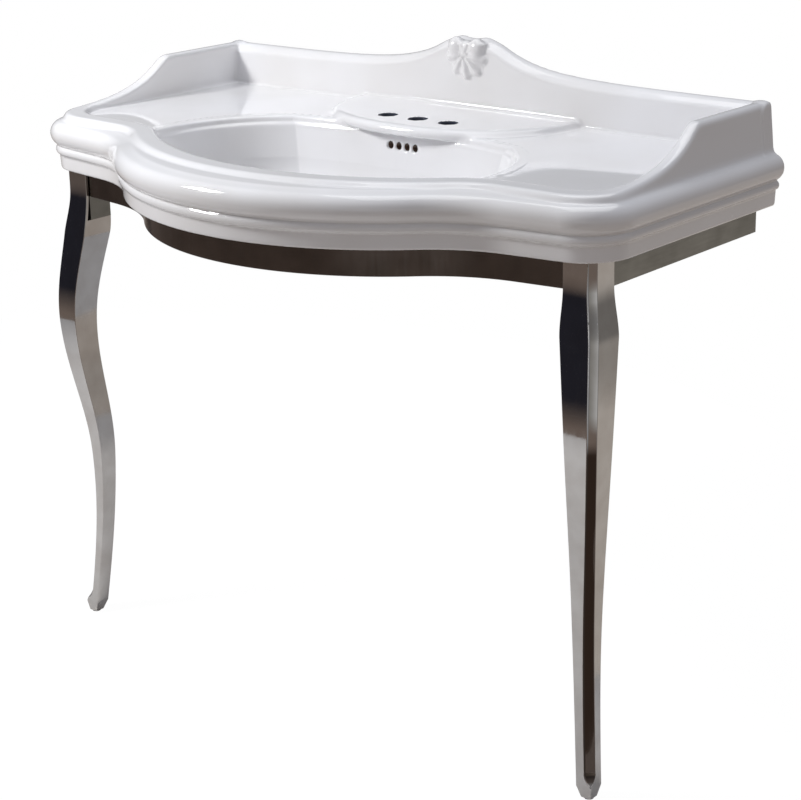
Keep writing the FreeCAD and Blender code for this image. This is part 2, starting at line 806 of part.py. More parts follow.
group("cushion_pads", [pad for name, side in SIDES for pad in cushion_pads(name, side)])


# ---------------------------------------------------------------- legs
PROUD = size("LegSkin") + size("NotchGap")
LEG_CORNER = Vector(FRAME_SIDE + PROUD, BLOCK_FRONT - PROUD, 0)
SHOULDER_HALF = size("LegShoulder") / 2


def leg_swing(height):
    """Return how far out along the diagonal the leg's middle lies at a height.

    Cosine waves join level: in from the knee to the top, in from the knee to the ankle and
    out again from the ankle to the foot.
    """
    knee = size("KneeOut")
    ankle = size("AnkleOut")
    if height > size("KneeHeight"):
        run = (height - size("KneeHeight")) / (size("KneeTop") - size("KneeHeight"))
        return knee * (1 + math.cos(math.pi * min(run, 1))) / 2
    if height > size("AnkleHeight"):
        run = (size("KneeHeight") - height) / (size("KneeHeight") - size("AnkleHeight"))
        return ankle + (knee - ankle) * (1 + math.cos(math.pi * run)) / 2
    run = 1 - height / size("AnkleHeight")
    return ankle + (size("FootOut") - ankle) * (1 - math.cos(math.pi / 2 * run))


def leg_width(height):
    """Return the leg's width: slim below and widening steadily up to the shoulder."""
    ease = size("TaperEase")
    rise = ease * math.log(1 + math.exp((height - size("TaperStart")) / ease))
    return min(size("LegShoulder"), size("LegAnkle") + size("LegTaper") * rise)


def leg_middle(height, swing):
    """Return the middle of the leg's section at a height, for a way out."""
    step = swing / math.sqrt(2)
    return Vector(LEG_CORNER.x - SHOULDER_HALF + step,
                  LEG_CORNER.y + SHOULDER_HALF - step, height)


def leg_section(height):
    """Return a square section whose outer front corner is cut by a cove."""
    half = leg_width(height) / 2
    top_share = min(1, height / size("KneeHeight"))
    flute = size("FluteFoot") + (size("FluteTop") - size("FluteFoot")) * top_share
    middle = leg_middle(height, leg_swing(height))

    def at(across, along):
        return middle + Vector(across, along, 0)

    bite = half - flute * size("FluteDepth")
    start = at(half - flute, -half)
    end = at(half, flute - half)
    corners = [end, at(half, half), at(-half, half), at(-half, -half), start]
    sides = [line(a, b) for a, b in zip(corners, corners[1:])]
    return Part.Wire([arc(start, at(bite, -bite), end)] + sides)


def square(middle, width):
    """Return a square wire about a point."""
    half = width / 2
    turns = ((half, -half), (half, half), (-half, half), (-half, -half), (half, -half))
    return Part.makePolygon([middle + Vector(x, y, 0) for x, y in turns])


def make_leg():
    """Return the right leg, with the notch for its corner block and its bolt hole."""
    low = size("GlideThickness") + size("FootBevel")
    sections = 8
    heights = [low + (FRAME_TOP - low) * step / (sections - 1) for step in range(sections)]
    shank = Part.makeLoft([leg_section(height) for height in heights], True, False)
    foot = Part.makeLoft([
        square(leg_middle(size("GlideThickness"), size("FootOut")), size("SoleWidth")),
        square(leg_middle(low, leg_swing(low)), leg_width(low))], True, True)
    shape = shank.fuse(foot)
    floor = size("BlockBottom")
    skin = size("LegSkin")
    near = LEG_CORNER.y + skin
    beyond = 3 * size("LegShoulder")
    block_middle = BLOCK_FRONT + size("BlockSize") / 2
    slope_end = BLOCK_FRONT + size("BlockSize") + 2 * skin
    inner = LEG_CORNER.x - skin - beyond
    notch = polygon([
        Vector(inner, near, floor),
        Vector(inner, block_middle, floor),
        Vector(inner, slope_end, floor - size("NotchDrop")),
        Vector(inner, near + beyond, floor - size("NotchDrop")),
        Vector(inner, near + beyond, FRAME_TOP + skin),
        Vector(inner, near, FRAME_TOP + skin),
    ]).extrude(ACROSS * beyond)
    radius = size("BoltDiameter") / 2 + size("BoltClearance")
    bottom = Vector(FRAME_SIDE - size("BlockSize") / 2, block_middle,
                    floor - size("BoltLength"))
    hole = Part.makeCylinder(radius, size("BoltLength") + skin, bottom)
    return shape.cut([notch, hole])


right_leg = feature("right_leg", make_leg())
mirror_image("left_leg", right_leg)

SOLE_OUT_CELL = "(LegSkin + NotchGap - LegShoulder / 2 + FootOut / sqrt(2))"
right_glide = cylinder(
    "right_foot_glide", "GlideDiameter / 2", "GlideThickness",
    f"{SIDE_CELL} + {SOLE_OUT_CELL}", f"{BLOCK_FRONT_CELL} - {SOLE_OUT_CELL}", "0")
mirror_image("left_foot_glide", right_glide)

BOLT_CELL = (f"({SIDE_CELL} - BlockSize / 2)", BLOCK_MIDDLE_CELL)
washer_disc = cylinder("washer_disc", "WasherDiameter / 2", "WasherThickness",
                       *BOLT_CELL, "BlockBottom + BlockFloor")
washer_bore = cylinder("washer_bore", "BoltDiameter / 2 + BoltClearance",
                       "3 * WasherThickness", *BOLT_CELL,
                       "BlockBottom + BlockFloor - WasherThickness")
right_washer = cut("right_leg_washer", washer_disc, washer_bore)
group("leg_washers", [right_washer, mirror_image("left_leg_washer", right_washer)])

BOLT_SEAT_CELL = "(BlockBottom + BlockFloor + WasherThickness)"
bolt_head = doc.addObject("Part::Prism", "bolt_head")
bolt_head.Polygon = 6
bind(bolt_head, Circumradius="BoltHeadWidth / sqrt(3)", Height="BoltHeadHeight")
bind_place(bolt_head, *BOLT_CELL, BOLT_SEAT_CELL)
bolt_shank = cylinder("bolt_shank", "BoltDiameter / 2", "BoltLength + BoltHeadHeight / 2",
                      *BOLT_CELL, f"{BOLT_SEAT_CELL} - BoltLength")
right_bolt = fuse("right_leg_bolt", [bolt_head, bolt_shank])
group("leg_bolts", [right_bolt, mirror_image("left_leg_bolt", right_bolt)])

# ---------------------------------------------------------------- check and export
NODES = [
    "basin", "front_apron", "left_side_rail", "right_side_rail", "rear_rail",
    "left_rail_end_plate", "right_rail_end_plate", "left_corner_block", "right_corner_block",
    "cushion_pads", "left_leg", "right_leg", "left_foot_glide", "right_foot_glide",
    "leg_bolts", "leg_washers",
]

doc.recompute()
for item in doc.Objects:
    if "Invalid" in item.State or "Error" in item.State:
        raise RuntimeError(f"{item.Label} failed: {item.State}")

pieces = {}
for name in NODES:
    found = doc.getObjectsByLabel(name)
    if len(found) != 1:
        raise RuntimeError(f"{name}: {len(found)} objects carry this label")
    shape = found[0].Shape
    if shape.isNull() or not shape.isValid() or not shape.Solids:
        raise RuntimeError(f"{name} has no valid solid")
    pieces[name] = shape

os.makedirs("parts", exist_ok=True)
for name, shape in pieces.items():
    shape.exportStep(os.path.join("parts", f"{name}.step"))
    span = shape.BoundBox
    print(f"{name}: {len(shape.Solids)} solids, {len(shape.Faces)} faces, "
          f"{shape.Volume / 1000:.1f} cm3, x {span.XMin:.1f} to {span.XMax:.1f}, "
          f"y {span.YMin:.1f} to {span.YMax:.1f}, z {span.ZMin:.1f} to {span.ZMax:.1f}")
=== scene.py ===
"""Looks of a console basin: white glazed fireclay on a polished stainless stand.

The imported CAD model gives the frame. The basin, the legs and the apron are rebuilt here as
finer surfaces within the CAD model's box, and every other CAD piece keeps its shape and gets
a finish. Sizes are millimetres in the dataclasses and become metres when a mesh is made.
"""

import json
import logging
import math
from dataclasses import dataclass, field
from enum import Enum
from typing import Callable, NamedTuple

import bpy
import numpy as np
from mathutils import Matrix, Vector

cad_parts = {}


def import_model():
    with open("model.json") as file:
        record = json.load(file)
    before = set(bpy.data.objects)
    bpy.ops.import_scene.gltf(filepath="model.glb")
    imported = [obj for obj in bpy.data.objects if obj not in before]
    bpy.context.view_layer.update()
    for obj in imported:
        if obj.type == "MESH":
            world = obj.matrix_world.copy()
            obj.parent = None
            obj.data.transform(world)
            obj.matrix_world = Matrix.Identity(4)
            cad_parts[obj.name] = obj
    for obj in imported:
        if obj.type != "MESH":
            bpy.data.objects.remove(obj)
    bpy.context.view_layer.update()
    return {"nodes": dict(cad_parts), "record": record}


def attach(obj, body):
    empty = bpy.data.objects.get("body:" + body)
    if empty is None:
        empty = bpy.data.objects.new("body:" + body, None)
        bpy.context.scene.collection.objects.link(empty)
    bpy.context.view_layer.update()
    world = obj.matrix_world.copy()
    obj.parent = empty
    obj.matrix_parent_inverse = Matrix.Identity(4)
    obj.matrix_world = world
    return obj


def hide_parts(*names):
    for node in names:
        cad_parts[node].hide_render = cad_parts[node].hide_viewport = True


MM = 0.001
# Keeps a length that something is divided by away from zero.
TINY = 1e-6
RIM_HEIGHT = 822.0
FOOT_HEIGHT = 741.0
WALL_PLANE = 297.0
BACKSPLASH_FACE = 272.0
IMAGE_WIDTH = 801
IMAGE_HEIGHT = 800
log = logging.getLogger("console_basin")

Array = np.ndarray
Socket = bpy.types.NodeSocket


class Spots(NamedTuple):
    """Places in millimetres: across, towards the wall and up, as arrays that broadcast."""

    x: Array
    y: Array
    z: Array


Field = Callable[[Spots], Array]


# ---------------------------------------------------------------- colour and nodes
def linear(hex_colour: str) -> tuple[float, float, float, float]:
    """Turn an sRGB hex colour into linear RGBA.

    Each channel c is c / 12.92 up to 0.04045 and ((c + 0.055) / 1.055) ** 2.4 above it.

    Args:
        hex_colour: six hex digits after a hash.

    Returns:
        Linear red, green, blue and an alpha of one.
    """
    channels = [int(hex_colour[i:i + 2], 16) / 255 for i in (1, 3, 5)]
    red, green, blue = (
        c / 12.92 if c <= 0.04045 else ((c + 0.055) / 1.055) ** 2.4 for c in channels)
    return (red, green, blue, 1.0)


def connect(node: bpy.types.Node, inputs: dict[str | int, object]) -> None:
    """Give a node's inputs what feeds them.

    Args:
        node: the node.
        inputs: an output socket, an sRGB hex colour or a plain value, by input name or number.
    """
    for key, source in inputs.items():
        if isinstance(source, bpy.types.NodeSocket):
            node.id_data.links.new(source, node.inputs[key])
        elif isinstance(source, str):
            node.inputs[key].default_value = linear(source)
        else:
            node.inputs[key].default_value = source


def add_node(tree: bpy.types.NodeTree, kind: str, inputs: dict[str | int, object] | None = None,
             stops: tuple[tuple[float, str], ...] = (), **settings: object
             ) -> bpy.types.bpy_prop_collection:
    """Add one node with its settings and links.

    Args:
        tree: the node tree that gets the node.
        kind: the node's type name.
        inputs: what feeds its inputs, as connect takes it.
        stops: positions and sRGB hex colours, where the node holds a colour ramp.
        **settings: the node's properties.

    Returns:
        The new node's outputs.
    """
    made = tree.nodes.new(kind)
    for name, value in settings.items():
        setattr(made, name, value)
    if stops:
        elements = made.color_ramp.elements
        while len(elements) < len(stops):
            elements.new(0.5)
        for element, (position, colour) in zip(elements, stops):
            element.position = position
            element.color = linear(colour)
    connect(made, inputs or {})
    return made.outputs


def new_material(name: str) -> tuple[bpy.types.Material, bpy.types.Node, Socket]:
    """Make a material of one shader.

    Args:
        name: the material's name.

    Returns:
        The material, its shader, and the place on the object in metres.
    """
    material = bpy.data.materials.new(name)
    material.use_nodes = True
    tree = material.node_tree
    place = add_node(tree, "ShaderNodeTexCoord")["Object"]
    return material, tree.nodes["Principled BSDF"], place


# ---------------------------------------------------------------- finishes
@dataclass(frozen=True)
class Bores:
    """The holes of the basin: three for taps, four for overflow, the drain and the wall bolts."""

    tap_spacing: float = 57.0
    tap_line: float = 155.0
    tap_radius: float = 13.8
    tap_low: float = 790.0
    slot_pitch: float = 15.5
    slot_height: float = 792.0
    slot_radius: float = 5.5
    slot_line: float = 120.0
    slot_reach: float = 45.0
    drain_line: float = -18.0
    drain_radius: float = 22.5
    drain_top: float = 700.0
    bolt_across: float = 280.0
    bolt_height: float = 781.0
    bolt_radius: float = 7.0
    bolt_front: float = 240.0

    def distance(self, at: Spots) -> Array:
        """Return the distance from the bores, each a cylinder that is cut by a plane.

        Args:
            at: the places.

        Returns:
            The signed distances, negative in a bore.
        """
        x, y, z = at
        across = np.abs(x)
        tap_x = np.minimum(np.abs(across - self.tap_spacing), across)
        tap = np.sqrt(tap_x ** 2 + (y - self.tap_line) ** 2) - self.tap_radius
        tap = np.maximum(tap, self.tap_low - z)
        slot = np.abs(np.abs(across - self.slot_pitch) - self.slot_pitch / 2)
        overflow = np.sqrt(slot ** 2 + (z - self.slot_height) ** 2) - self.slot_radius
        overflow = np.maximum(overflow, np.abs(y - self.slot_line) - self.slot_reach)
        drain = np.sqrt(across ** 2 + (y - self.drain_line) ** 2) - self.drain_radius
        drain = np.maximum(drain, z - self.drain_top)
        bolt = np.sqrt((across - self.bolt_across) ** 2 + (z - self.bolt_height) ** 2)
        bolt = np.maximum(bolt - self.bolt_radius, self.bolt_front - y)
        return np.minimum(np.minimum(tap, overflow), np.minimum(drain, bolt))


@dataclass(frozen=True)
class GlazedFireclay:
    """Cast fireclay under a white gloss glaze, sprayed and fired.

    The glaze gives a deep even white with sharp small highlights. It pools a little, so its
    tone and its gloss drift slowly. The foot that stood on the kiln shelf stays unglazed. The
    insides of the tap and overflow bores are painted dark, as painted shade where they lie in
    shadow.
    """

    name: str = "glazed_fireclay"
    glaze: str = "#ebebed"
    glaze_thin: str = "#e4e3e3"
    bare_clay: str = "#d8cfc2"
    # Painted shade: the insides of the tap and overflow bores, where they lie in shadow.
    tap_bore_painted_shade: str = "#3a3e4a"
    overflow_bore_painted_shade: str = "#6b594e"
    roughness: float = 0.05
    pooling_mm: float = 180.0
    ripple_mm: float = 55.0
    bores: Bores = Bores()
    tap_reach: float = 15.0
    tap_rim: float = 827.8
    slot_reach: float = 6.2
    slot_face: float = 121.5
    slot_back: float = 160.0
    foot_top: float = FOOT_HEIGHT + 0.5
    foot_low: float = FOOT_HEIGHT - 1.5
    foot_facing: float = -0.6

    def build(self) -> bpy.types.Material:
        """Make the material.

        Returns:
            The glaze material.
        """
        material, shader, place = new_material(self.name)
        tree = material.node_tree
        pooling = add_node(tree, "ShaderNodeTexNoise", {
            "Vector": place, "Scale": 1 / (self.pooling_mm * MM), "Detail": 2.0})
        colour = add_node(tree, "ShaderNodeValToRGB", {"Fac": pooling["Fac"]}, (
            (0.35, self.glaze), (0.70, self.glaze_thin)))["Color"]
        masks = self.masks(tree, place)
        # Painted shade: the tap and overflow masks paint the bores' insides dark; the foot mask
        # gives unglazed clay.
        for mask, bare_or_painted_shade in (("foot", self.bare_clay), ("tap", self.tap_bore_painted_shade),
                           ("overflow", self.overflow_bore_painted_shade)):
            colour = add_node(tree, "ShaderNodeMix", {0: masks[mask], 6: colour, 7: bare_or_painted_shade},
                              data_type="RGBA")[2]
        ripple = add_node(tree, "ShaderNodeTexNoise", {
            "Vector": place, "Scale": 1 / (self.ripple_mm * MM), "Detail": 1.0})
        bump = add_node(tree, "ShaderNodeBump", {
            "Height": ripple["Fac"], "Strength": 0.05, "Distance": 0.004})
        connect(shader, {"Base Color": colour, "Normal": bump["Normal"], "IOR": 1.5,
                         "Roughness": self.roughness, "Coat Weight": 0.35,
                         "Coat Roughness": 0.02})
        return material

    def masks(self, tree: bpy.types.NodeTree, place: Socket) -> dict[str, Socket]:
        """Work out where the unglazed foot is and where the bores' painted shade goes.

        Each row gives a value's name, an operation and its terms, which are numbers or the
        values of earlier rows. A bore's painted shade goes where the squared distance from its
        axis is small, behind its glazed rim. The foot is what looks down at the foot's height.

        Args:
            tree: the material's nodes.
            place: the place on the object, in metres.

        Returns:
            The values by name, of which foot, tap and overflow are masks, 1 inside; tap and
            overflow place painted shade.
        """
        spot = add_node(tree, "ShaderNodeVectorMath", {0: place, 1: (1 / MM,) * 3},
                        operation="MULTIPLY")[0]
        spot = add_node(tree, "ShaderNodeSeparateXYZ", {"Vector": spot})
        facing = add_node(tree, "ShaderNodeNewGeometry")["Normal"]
        facing = add_node(tree, "ShaderNodeSeparateXYZ", {"Vector": facing})
        values = {"x": spot["X"], "y": spot["Y"], "z": spot["Z"], "facing": facing["Z"]}
        for name, operation, *terms in (
                ("across", "ABSOLUTE", "x"),
                ("outer", "SUBTRACT", "across", self.bores.tap_spacing),
                ("outer", "ABSOLUTE", "outer"),
                ("nearest", "MINIMUM", "across", "outer"),
                ("along", "SUBTRACT", "y", self.bores.tap_line),
                ("square", "MULTIPLY", "along", "along"),
                ("square", "MULTIPLY_ADD", "nearest", "nearest", "square"),
                ("inside", "LESS_THAN", "square", self.tap_reach ** 2),
                ("below", "LESS_THAN", "z", self.tap_rim),
                ("tap", "MULTIPLY", "inside", "below"),
                ("pair", "SUBTRACT", "across", self.bores.slot_pitch),
                ("pair", "ABSOLUTE", "pair"),
                ("pair", "SUBTRACT", "pair", self.bores.slot_pitch / 2),
                ("upward", "SUBTRACT", "z", self.bores.slot_height),
                ("square", "MULTIPLY", "upward", "upward"),
                ("square", "MULTIPLY_ADD", "pair", "pair", "square"),
                ("inside", "LESS_THAN", "square", self.slot_reach ** 2),
                ("behind", "GREATER_THAN", "y", self.slot_face),
                ("before", "LESS_THAN", "y", self.slot_back),
                ("inside", "MULTIPLY", "inside", "behind"),
                ("overflow", "MULTIPLY", "inside", "before"),
                ("low", "LESS_THAN", "z", self.foot_top),
                ("near", "GREATER_THAN", "z", self.foot_low),
                ("down", "LESS_THAN", "facing", self.foot_facing),
                ("foot", "MULTIPLY", "low", "near"),
                ("foot", "MULTIPLY", "foot", "down")):
            inputs = {number: values.get(term, term) for number, term in enumerate(terms)}
            values[name] = add_node(tree, "ShaderNodeMath", inputs, operation=operation)[0]
        return values


@dataclass(frozen=True)
class Stainless:
    """Stainless steel, cast or folded, then ground and buffed.

    Buffing leaves a mirror whose haze drifts over a few centimetres, with faint wheel marks
    along the piece. The satin grade keeps a finer, even brushed haze instead. Low in the leg's
    flute the steel is painted dark brown, as a painted reflection of the dark room. Real marks
    are too fine to show, so they are drawn some millimetres wide.
    """

    name: str
    steel: str
    steel_dull: str
    roughness: float
    haze: float
    wheel_mark_mm: float
    stretch: tuple[float, float, float]
    cloud_mm: float = 35.7143
    # Painted reflection: a dark brown that stands in for the dark room, used low in the leg's
    # flute.
    painted_dark_reflection: str = "#5d534c"

    def build(self) -> bpy.types.Material:
        """Make the material.

        Returns:
            The steel material.
        """
        material, shader, place = new_material(self.name)
        tree = material.node_tree
        along = add_node(tree, "ShaderNodeMapping", {"Vector": place, "Scale": self.stretch})
        marks = add_node(tree, "ShaderNodeTexNoise", {
            "Vector": along["Vector"], "Scale": 1 / (self.wheel_mark_mm * MM),
            "Detail": 3.0})["Fac"]
        cloud = add_node(tree, "ShaderNodeTexNoise", {
            "Vector": place, "Scale": 1 / (self.cloud_mm * MM), "Detail": 2.0})
        tone = add_node(tree, "ShaderNodeValToRGB", {"Fac": cloud["Fac"]}, (
            (0.35, self.steel), (0.75, self.steel_dull)))
        # Painted reflection: where the flute is marked, the colour turns to the dark brown that
        # stands in for the dark room's reflection.
        painted_reflection_mask = add_node(tree, "ShaderNodeAttribute", attribute_name="painted_reflection_share")
        colour = add_node(tree, "ShaderNodeMix", {
            0: painted_reflection_mask["Fac"], 6: tone["Color"], 7: self.painted_dark_reflection}, data_type="RGBA")
        rough = add_node(tree, "ShaderNodeMapRange", {
            "Value": marks, "From Min": 0.3, "From Max": 0.7, "To Min": self.roughness,
            "To Max": self.roughness + self.haze})
        bump = add_node(tree, "ShaderNodeBump", {
            "Height": marks, "Strength": 0.03, "Distance": 0.001})
        connect(shader, {"Metallic": 1.0, "Base Color": colour[2],
                         "Roughness": rough["Result"], "Normal": bump["Normal"]})
        return material


@dataclass(frozen=True)
class Moulded:
    """Plain moulded rubber or nylon, matt and dark, with the fine sparked grain of its mould.

    Real grain is too fine to show, so it is drawn about a millimetre wide.
    """

    name: str
    colour: str
    colour_worn: str
    roughness: float
    grain_mm: float = 1.2

    def build(self) -> bpy.types.Material:
        """Make the material.

        Returns:
            The moulded material.
        """
        material, shader, place = new_material(self.name)
        tree = material.node_tree
        grain = add_node(tree, "ShaderNodeTexNoise", {
            "Vector": place, "Scale": 1 / (self.grain_mm * MM), "Detail": 2.0})
        tone = add_node(tree, "ShaderNodeValToRGB", {"Fac": grain["Fac"]}, (
            (0.3, self.colour), (0.8, self.colour_worn)))
        bump = add_node(tree, "ShaderNodeBump", {
            "Height": grain["Fac"], "Strength": 0.3, "Distance": 0.0005})
        connect(shader, {"Base Color": tone["Color"], "Normal": bump["Normal"],
                         "Roughness": self.roughness})
        return material


class Finish(Enum):
    """The finishes of this object."""

    GLAZE = GlazedFireclay()
    POLISHED = Stainless("polished_stainless", "#c9c7c4", "#bcb8b4", 0.05, 0.05, 9.0,
                         (1.0, 1.0, 0.12))
    APRON = Stainless("brushed_apron_stainless", "#77706b", "#67615c", 0.10, 0.12, 4.0,
                      (1.0, 1.0, 0.08))
    SATIN = Stainless("satin_stainless", "#94938d", "#86857f", 0.28, 0.12, 3.0,
                      (1.0, 0.08, 1.0))
    ZINC = Stainless("zinc_plated_steel", "#b5b7ba", "#9fa2a6", 0.35, 0.15, 5.0,
                     (1.0, 1.0, 1.0))
    RUBBER = Moulded("moulded_rubber", "#202021", "#2b2b2c", 0.75)
    NYLON = Moulded("moulded_nylon", "#26262a", "#303035", 0.5)


FINISH_OF_SLOT = {
    "glaze": Finish.GLAZE,
    "polished_steel": Finish.POLISHED,
    "rail_steel": Finish.SATIN,
    "bolt_steel": Finish.ZINC,
    "pad_rubber": Finish.RUBBER,
    "glide_nylon": Finish.NYLON,
}


# ---------------------------------------------------------------- meshes
def make_piece(name: str, points: Array, faces: Array, finish: bpy.types.Material,
               normals: Array | None = None) -> bpy.types.Object:
    """Make an object from arrays of points and faces.

    Args:
        name: the piece's name.
        points: vertex positions in millimetres, one row each.
        faces: vertex numbers, three or four to a row.
        finish: the material.
        normals: unit normals at the vertices, or None for smooth ones.

    Returns:
        The new object, at the origin.
    """
    mesh = bpy.data.meshes.new(name)
    corners = faces.shape[1]
    mesh.vertices.add(len(points))
    mesh.vertices.foreach_set("co", (points * MM).astype(np.float32).ravel())
    mesh.loops.add(faces.size)
    mesh.loops.foreach_set("vertex_index", faces.astype(np.int32).ravel())
    mesh.polygons.add(len(faces))
    starts = np.arange(0, faces.size, corners, dtype=np.int32)
    mesh.polygons.foreach_set("loop_start", starts)
    mesh.update(calc_edges=True)
    mesh.polygons.foreach_set("use_smooth", np.ones(len(faces), dtype=bool))
    if normals is not None:
        mesh.normals_split_custom_set_from_vertices(normals.tolist())
    mesh.materials.append(finish)
    piece = bpy.data.objects.new(name, mesh)
    bpy.context.scene.collection.objects.link(piece)
    return piece


def tube_faces(rows: int, columns: int) -> Array:
    """Number the quads between the rows of a grid whose rows are closed rings.

    Args:
        rows: number of rows.
        columns: number of points in a row.

    Returns:
        Four vertex numbers to a quad.
    """
    row = np.arange(rows - 1)[:, None] * columns
    column = np.arange(columns)[None, :]
    following = (column + 1) % columns
    quads = np.stack([row + column, row + following,
                      row + columns + following, row + columns + column], axis=-1)
    return quads.reshape(-1, 4)


# ---------------------------------------------------------------- distance fields
def smooth_min(a: Array, b: Array | float, width: float) -> Array:
    """Join two fields with a fillet: the lesser one, less nearness squared times width / 4."""
    near = np.maximum(width - np.abs(a - b), 0) / width
    return np.minimum(a, b) - near * near * width / 4


def smooth_max(a: Array, b: Array | float, width: float) -> Array:
    """Keep what two fields share, with a rounded edge."""
    return -smooth_min(-a, -b, width)


def gradient(distance: Field, points: Array, reach: float = 0.4) -> Array:
    """Return a field's slope, from its differences a short way each side.

    Args:
        distance: the field.
        points: the places, one row each.
        reach: how far the differences reach.

    Returns:
        The slope along each axis, one row to a place.
    """
    parts = []
    for axis in range(3):
        shift = np.zeros(3)
        shift[axis] = reach
        ahead = distance(Spots(*(points + shift).T))
        behind = distance(Spots(*(points - shift).T))
        parts.append((ahead - behind) / (2 * reach))
    return np.stack(parts, axis=1)


@dataclass
class SurfaceNet:
    """A grid that turns a distance field into a closed mesh of quads."""

    low: tuple[float, float, float]
    high: tuple[float, float, float]
    step: float

    def axes(self) -> list[Array]:
        """Return the grid's lines along each axis."""
        return [np.arange(a, b + self.step, self.step, dtype=np.float32)
                for a, b in zip(self.low, self.high)]

    def around(self, place: Array, axis: int) -> list[Array]:
        """Find the four cells round each of some edges.

        Args:
            place: the edges' lower grid points, one row each.
            axis: the axis that the edges run along.

        Returns:
            The cells, one array for each of the four corners of a square.
        """
        first, second = (other for other in range(3) if other != axis)
        cells = []
        for shift_first, shift_second in ((0, 0), (0, 1), (1, 0), (1, 1)):
            cell = place.copy()
            cell[:, first] -= shift_first
            cell[:, second] -= shift_second
            cells.append(cell)
        return cells

    def extract(self, distance: Field) -> tuple[Array, Array]:
        """Make the mesh where the field is zero.

        Each grid cell that the surface crosses gets one point, the mean of the places where
        the surface crosses the cell's edges. Each grid edge that the surface crosses gets a
        quad through the four cells around it.

        Args:
            distance: the field, negative inside the solid.

        Returns:
            The points and the quads.
        """
        lines = self.axes()
        value = distance(Spots(*np.meshgrid(*lines, indexing="ij", sparse=True)))
        value = value.astype(np.float32)
        inside = value < 0
        cells_along = np.array(value.shape) - 1
        total = np.zeros((*cells_along, 3), dtype=np.float32)
        count = np.zeros(tuple(cells_along), dtype=np.float32)
        crossings = []
        for axis in range(3):
            lower = tuple(slice(0, -1 if other == axis else None) for other in range(3))
            upper = tuple(slice(1 if other == axis else 0, None) for other in range(3))
            crossed = inside[lower] != inside[upper]
            place = np.argwhere(crossed)
            start = value[lower][crossed]
            point = place.astype(np.float32)
            point[:, axis] += start / (start - value[upper][crossed])
            cells = self.around(place, axis)
            crossings.append((axis, cells, inside[lower][crossed]))
            for cell in cells:
                good = ((cell >= 0) & (cell < cells_along)).all(axis=1)
                where = tuple(cell[good].T)
                np.add.at(total, where, point[good])
                np.add.at(count, where, 1)
        where = np.nonzero(count)
        number = np.full(count.shape, -1, dtype=np.int64)
        number[where] = np.arange(len(where[0]))
        mean = total[where] / count[where][:, None]
        points = mean * self.step + np.array([line[0] for line in lines], dtype=np.float32)
        quads = []
        for axis, cells, starts_inside in crossings:
            quad = np.stack([number[tuple(cells[corner].T)] for corner in (0, 2, 3, 1)], axis=1)
            # Seen along the y axis, x and z turn the other way.
            turned = starts_inside if axis == 1 else ~starts_inside
            quad[turned] = quad[turned][:, ::-1]
            quads.append(quad)
        return points.astype(np.float64), np.concatenate(quads)


# ---------------------------------------------------------------- plans
@dataclass
class SerpentinePlan:
    """A plan outline of tangent arcs and lines, mirrored about the middle plane.

    From the back it runs forward along a straight side, round a corner, in along a sloping
    shoulder, through a hollow and round the bow in the middle.
    """

    half_width: float
    front: float
    bow: float
    bow_radius: float
    hollow_radius: float
    slope_degrees: float
    corner_radius: float

    def __post_init__(self) -> None:
        """Work out the arcs' centres and where the pieces meet."""
        slope = math.radians(self.slope_degrees)
        self.outward = np.array([math.sin(slope), -math.cos(slope)])
        along = np.array([math.cos(slope), math.sin(slope)])
        corner = np.array([self.half_width, self.bow - self.front])
        shoulder_y = corner[1] - self.corner_radius * math.tan(slope)
        self.corner_centre = np.array([
            self.half_width - self.corner_radius,
            shoulder_y + self.corner_radius / math.cos(slope)])
        self.bow_centre = np.array([0.0, self.bow_radius - self.front])
        start = corner + self.outward * self.hollow_radius - self.bow_centre
        half = -start @ along
        reach = self.bow_radius + self.hollow_radius
        run = -half - math.sqrt(half * half - start @ start + reach * reach)
        self.hollow_centre = self.bow_centre + start - along * run
        to_hollow = self.hollow_centre - self.bow_centre
        self.to_hollow = to_hollow / np.linalg.norm(to_hollow)
        self.shoulder = self.hollow_centre - self.outward * self.hollow_radius
        self.corner_in = self.corner_centre + self.outward * self.corner_radius
        self.along = along

    def distance(self, x: Array, y: Array) -> Array:
        """Return the signed distance from the outline, negative inside.

        Each arc or line counts only in its own sector or strip, and the nearest one gives
        the value: radius less distance on the hollow, distance less radius on the others.

        Args:
            x: distances across.
            y: distances towards the back.

        Returns:
            The signed distances in millimetres.
        """
        across = np.abs(x)
        far = 1e6

        def away_from(centre: Array) -> tuple[Array, Array, Array]:
            """Return how far across and along the places lie from a centre, and how far."""
            dx, dy = across - centre[0], y - centre[1]
            return dx, dy, np.sqrt(dx * dx + dy * dy)

        dx, dy, reach = away_from(self.bow_centre)
        in_bow = (dx * self.to_hollow[1] - dy * self.to_hollow[0] >= 0) & (dy < 0)
        best = np.where(in_bow, reach - self.bow_radius, far)
        dx, dy, reach = away_from(self.hollow_centre)
        past_bow = dx * self.to_hollow[1] - dy * self.to_hollow[0] <= 0
        before_line = dx * self.along[0] + dy * self.along[1] <= 0
        hollow = np.where(past_bow & before_line, self.hollow_radius - reach, far)
        dx, dy, _ = away_from(self.shoulder)
        run = dx * self.along[0] + dy * self.along[1]
        length = float((self.corner_in - self.shoulder) @ self.along)
        line = np.where((run >= 0) & (run <= length),
                        dx * self.outward[0] + dy * self.outward[1], far)
        dx, dy, reach = away_from(self.corner_centre)
        past_line = dx * self.along[0] + dy * self.along[1] >= 0
        corner = np.where(past_line & (dy <= 0), reach - self.corner_radius, far)
        side = np.where(dy >= 0, across - self.half_width, far)
        for other in (hollow, line, corner, side):
            best = np.where(np.abs(other) < np.abs(best), other, best)
        return best


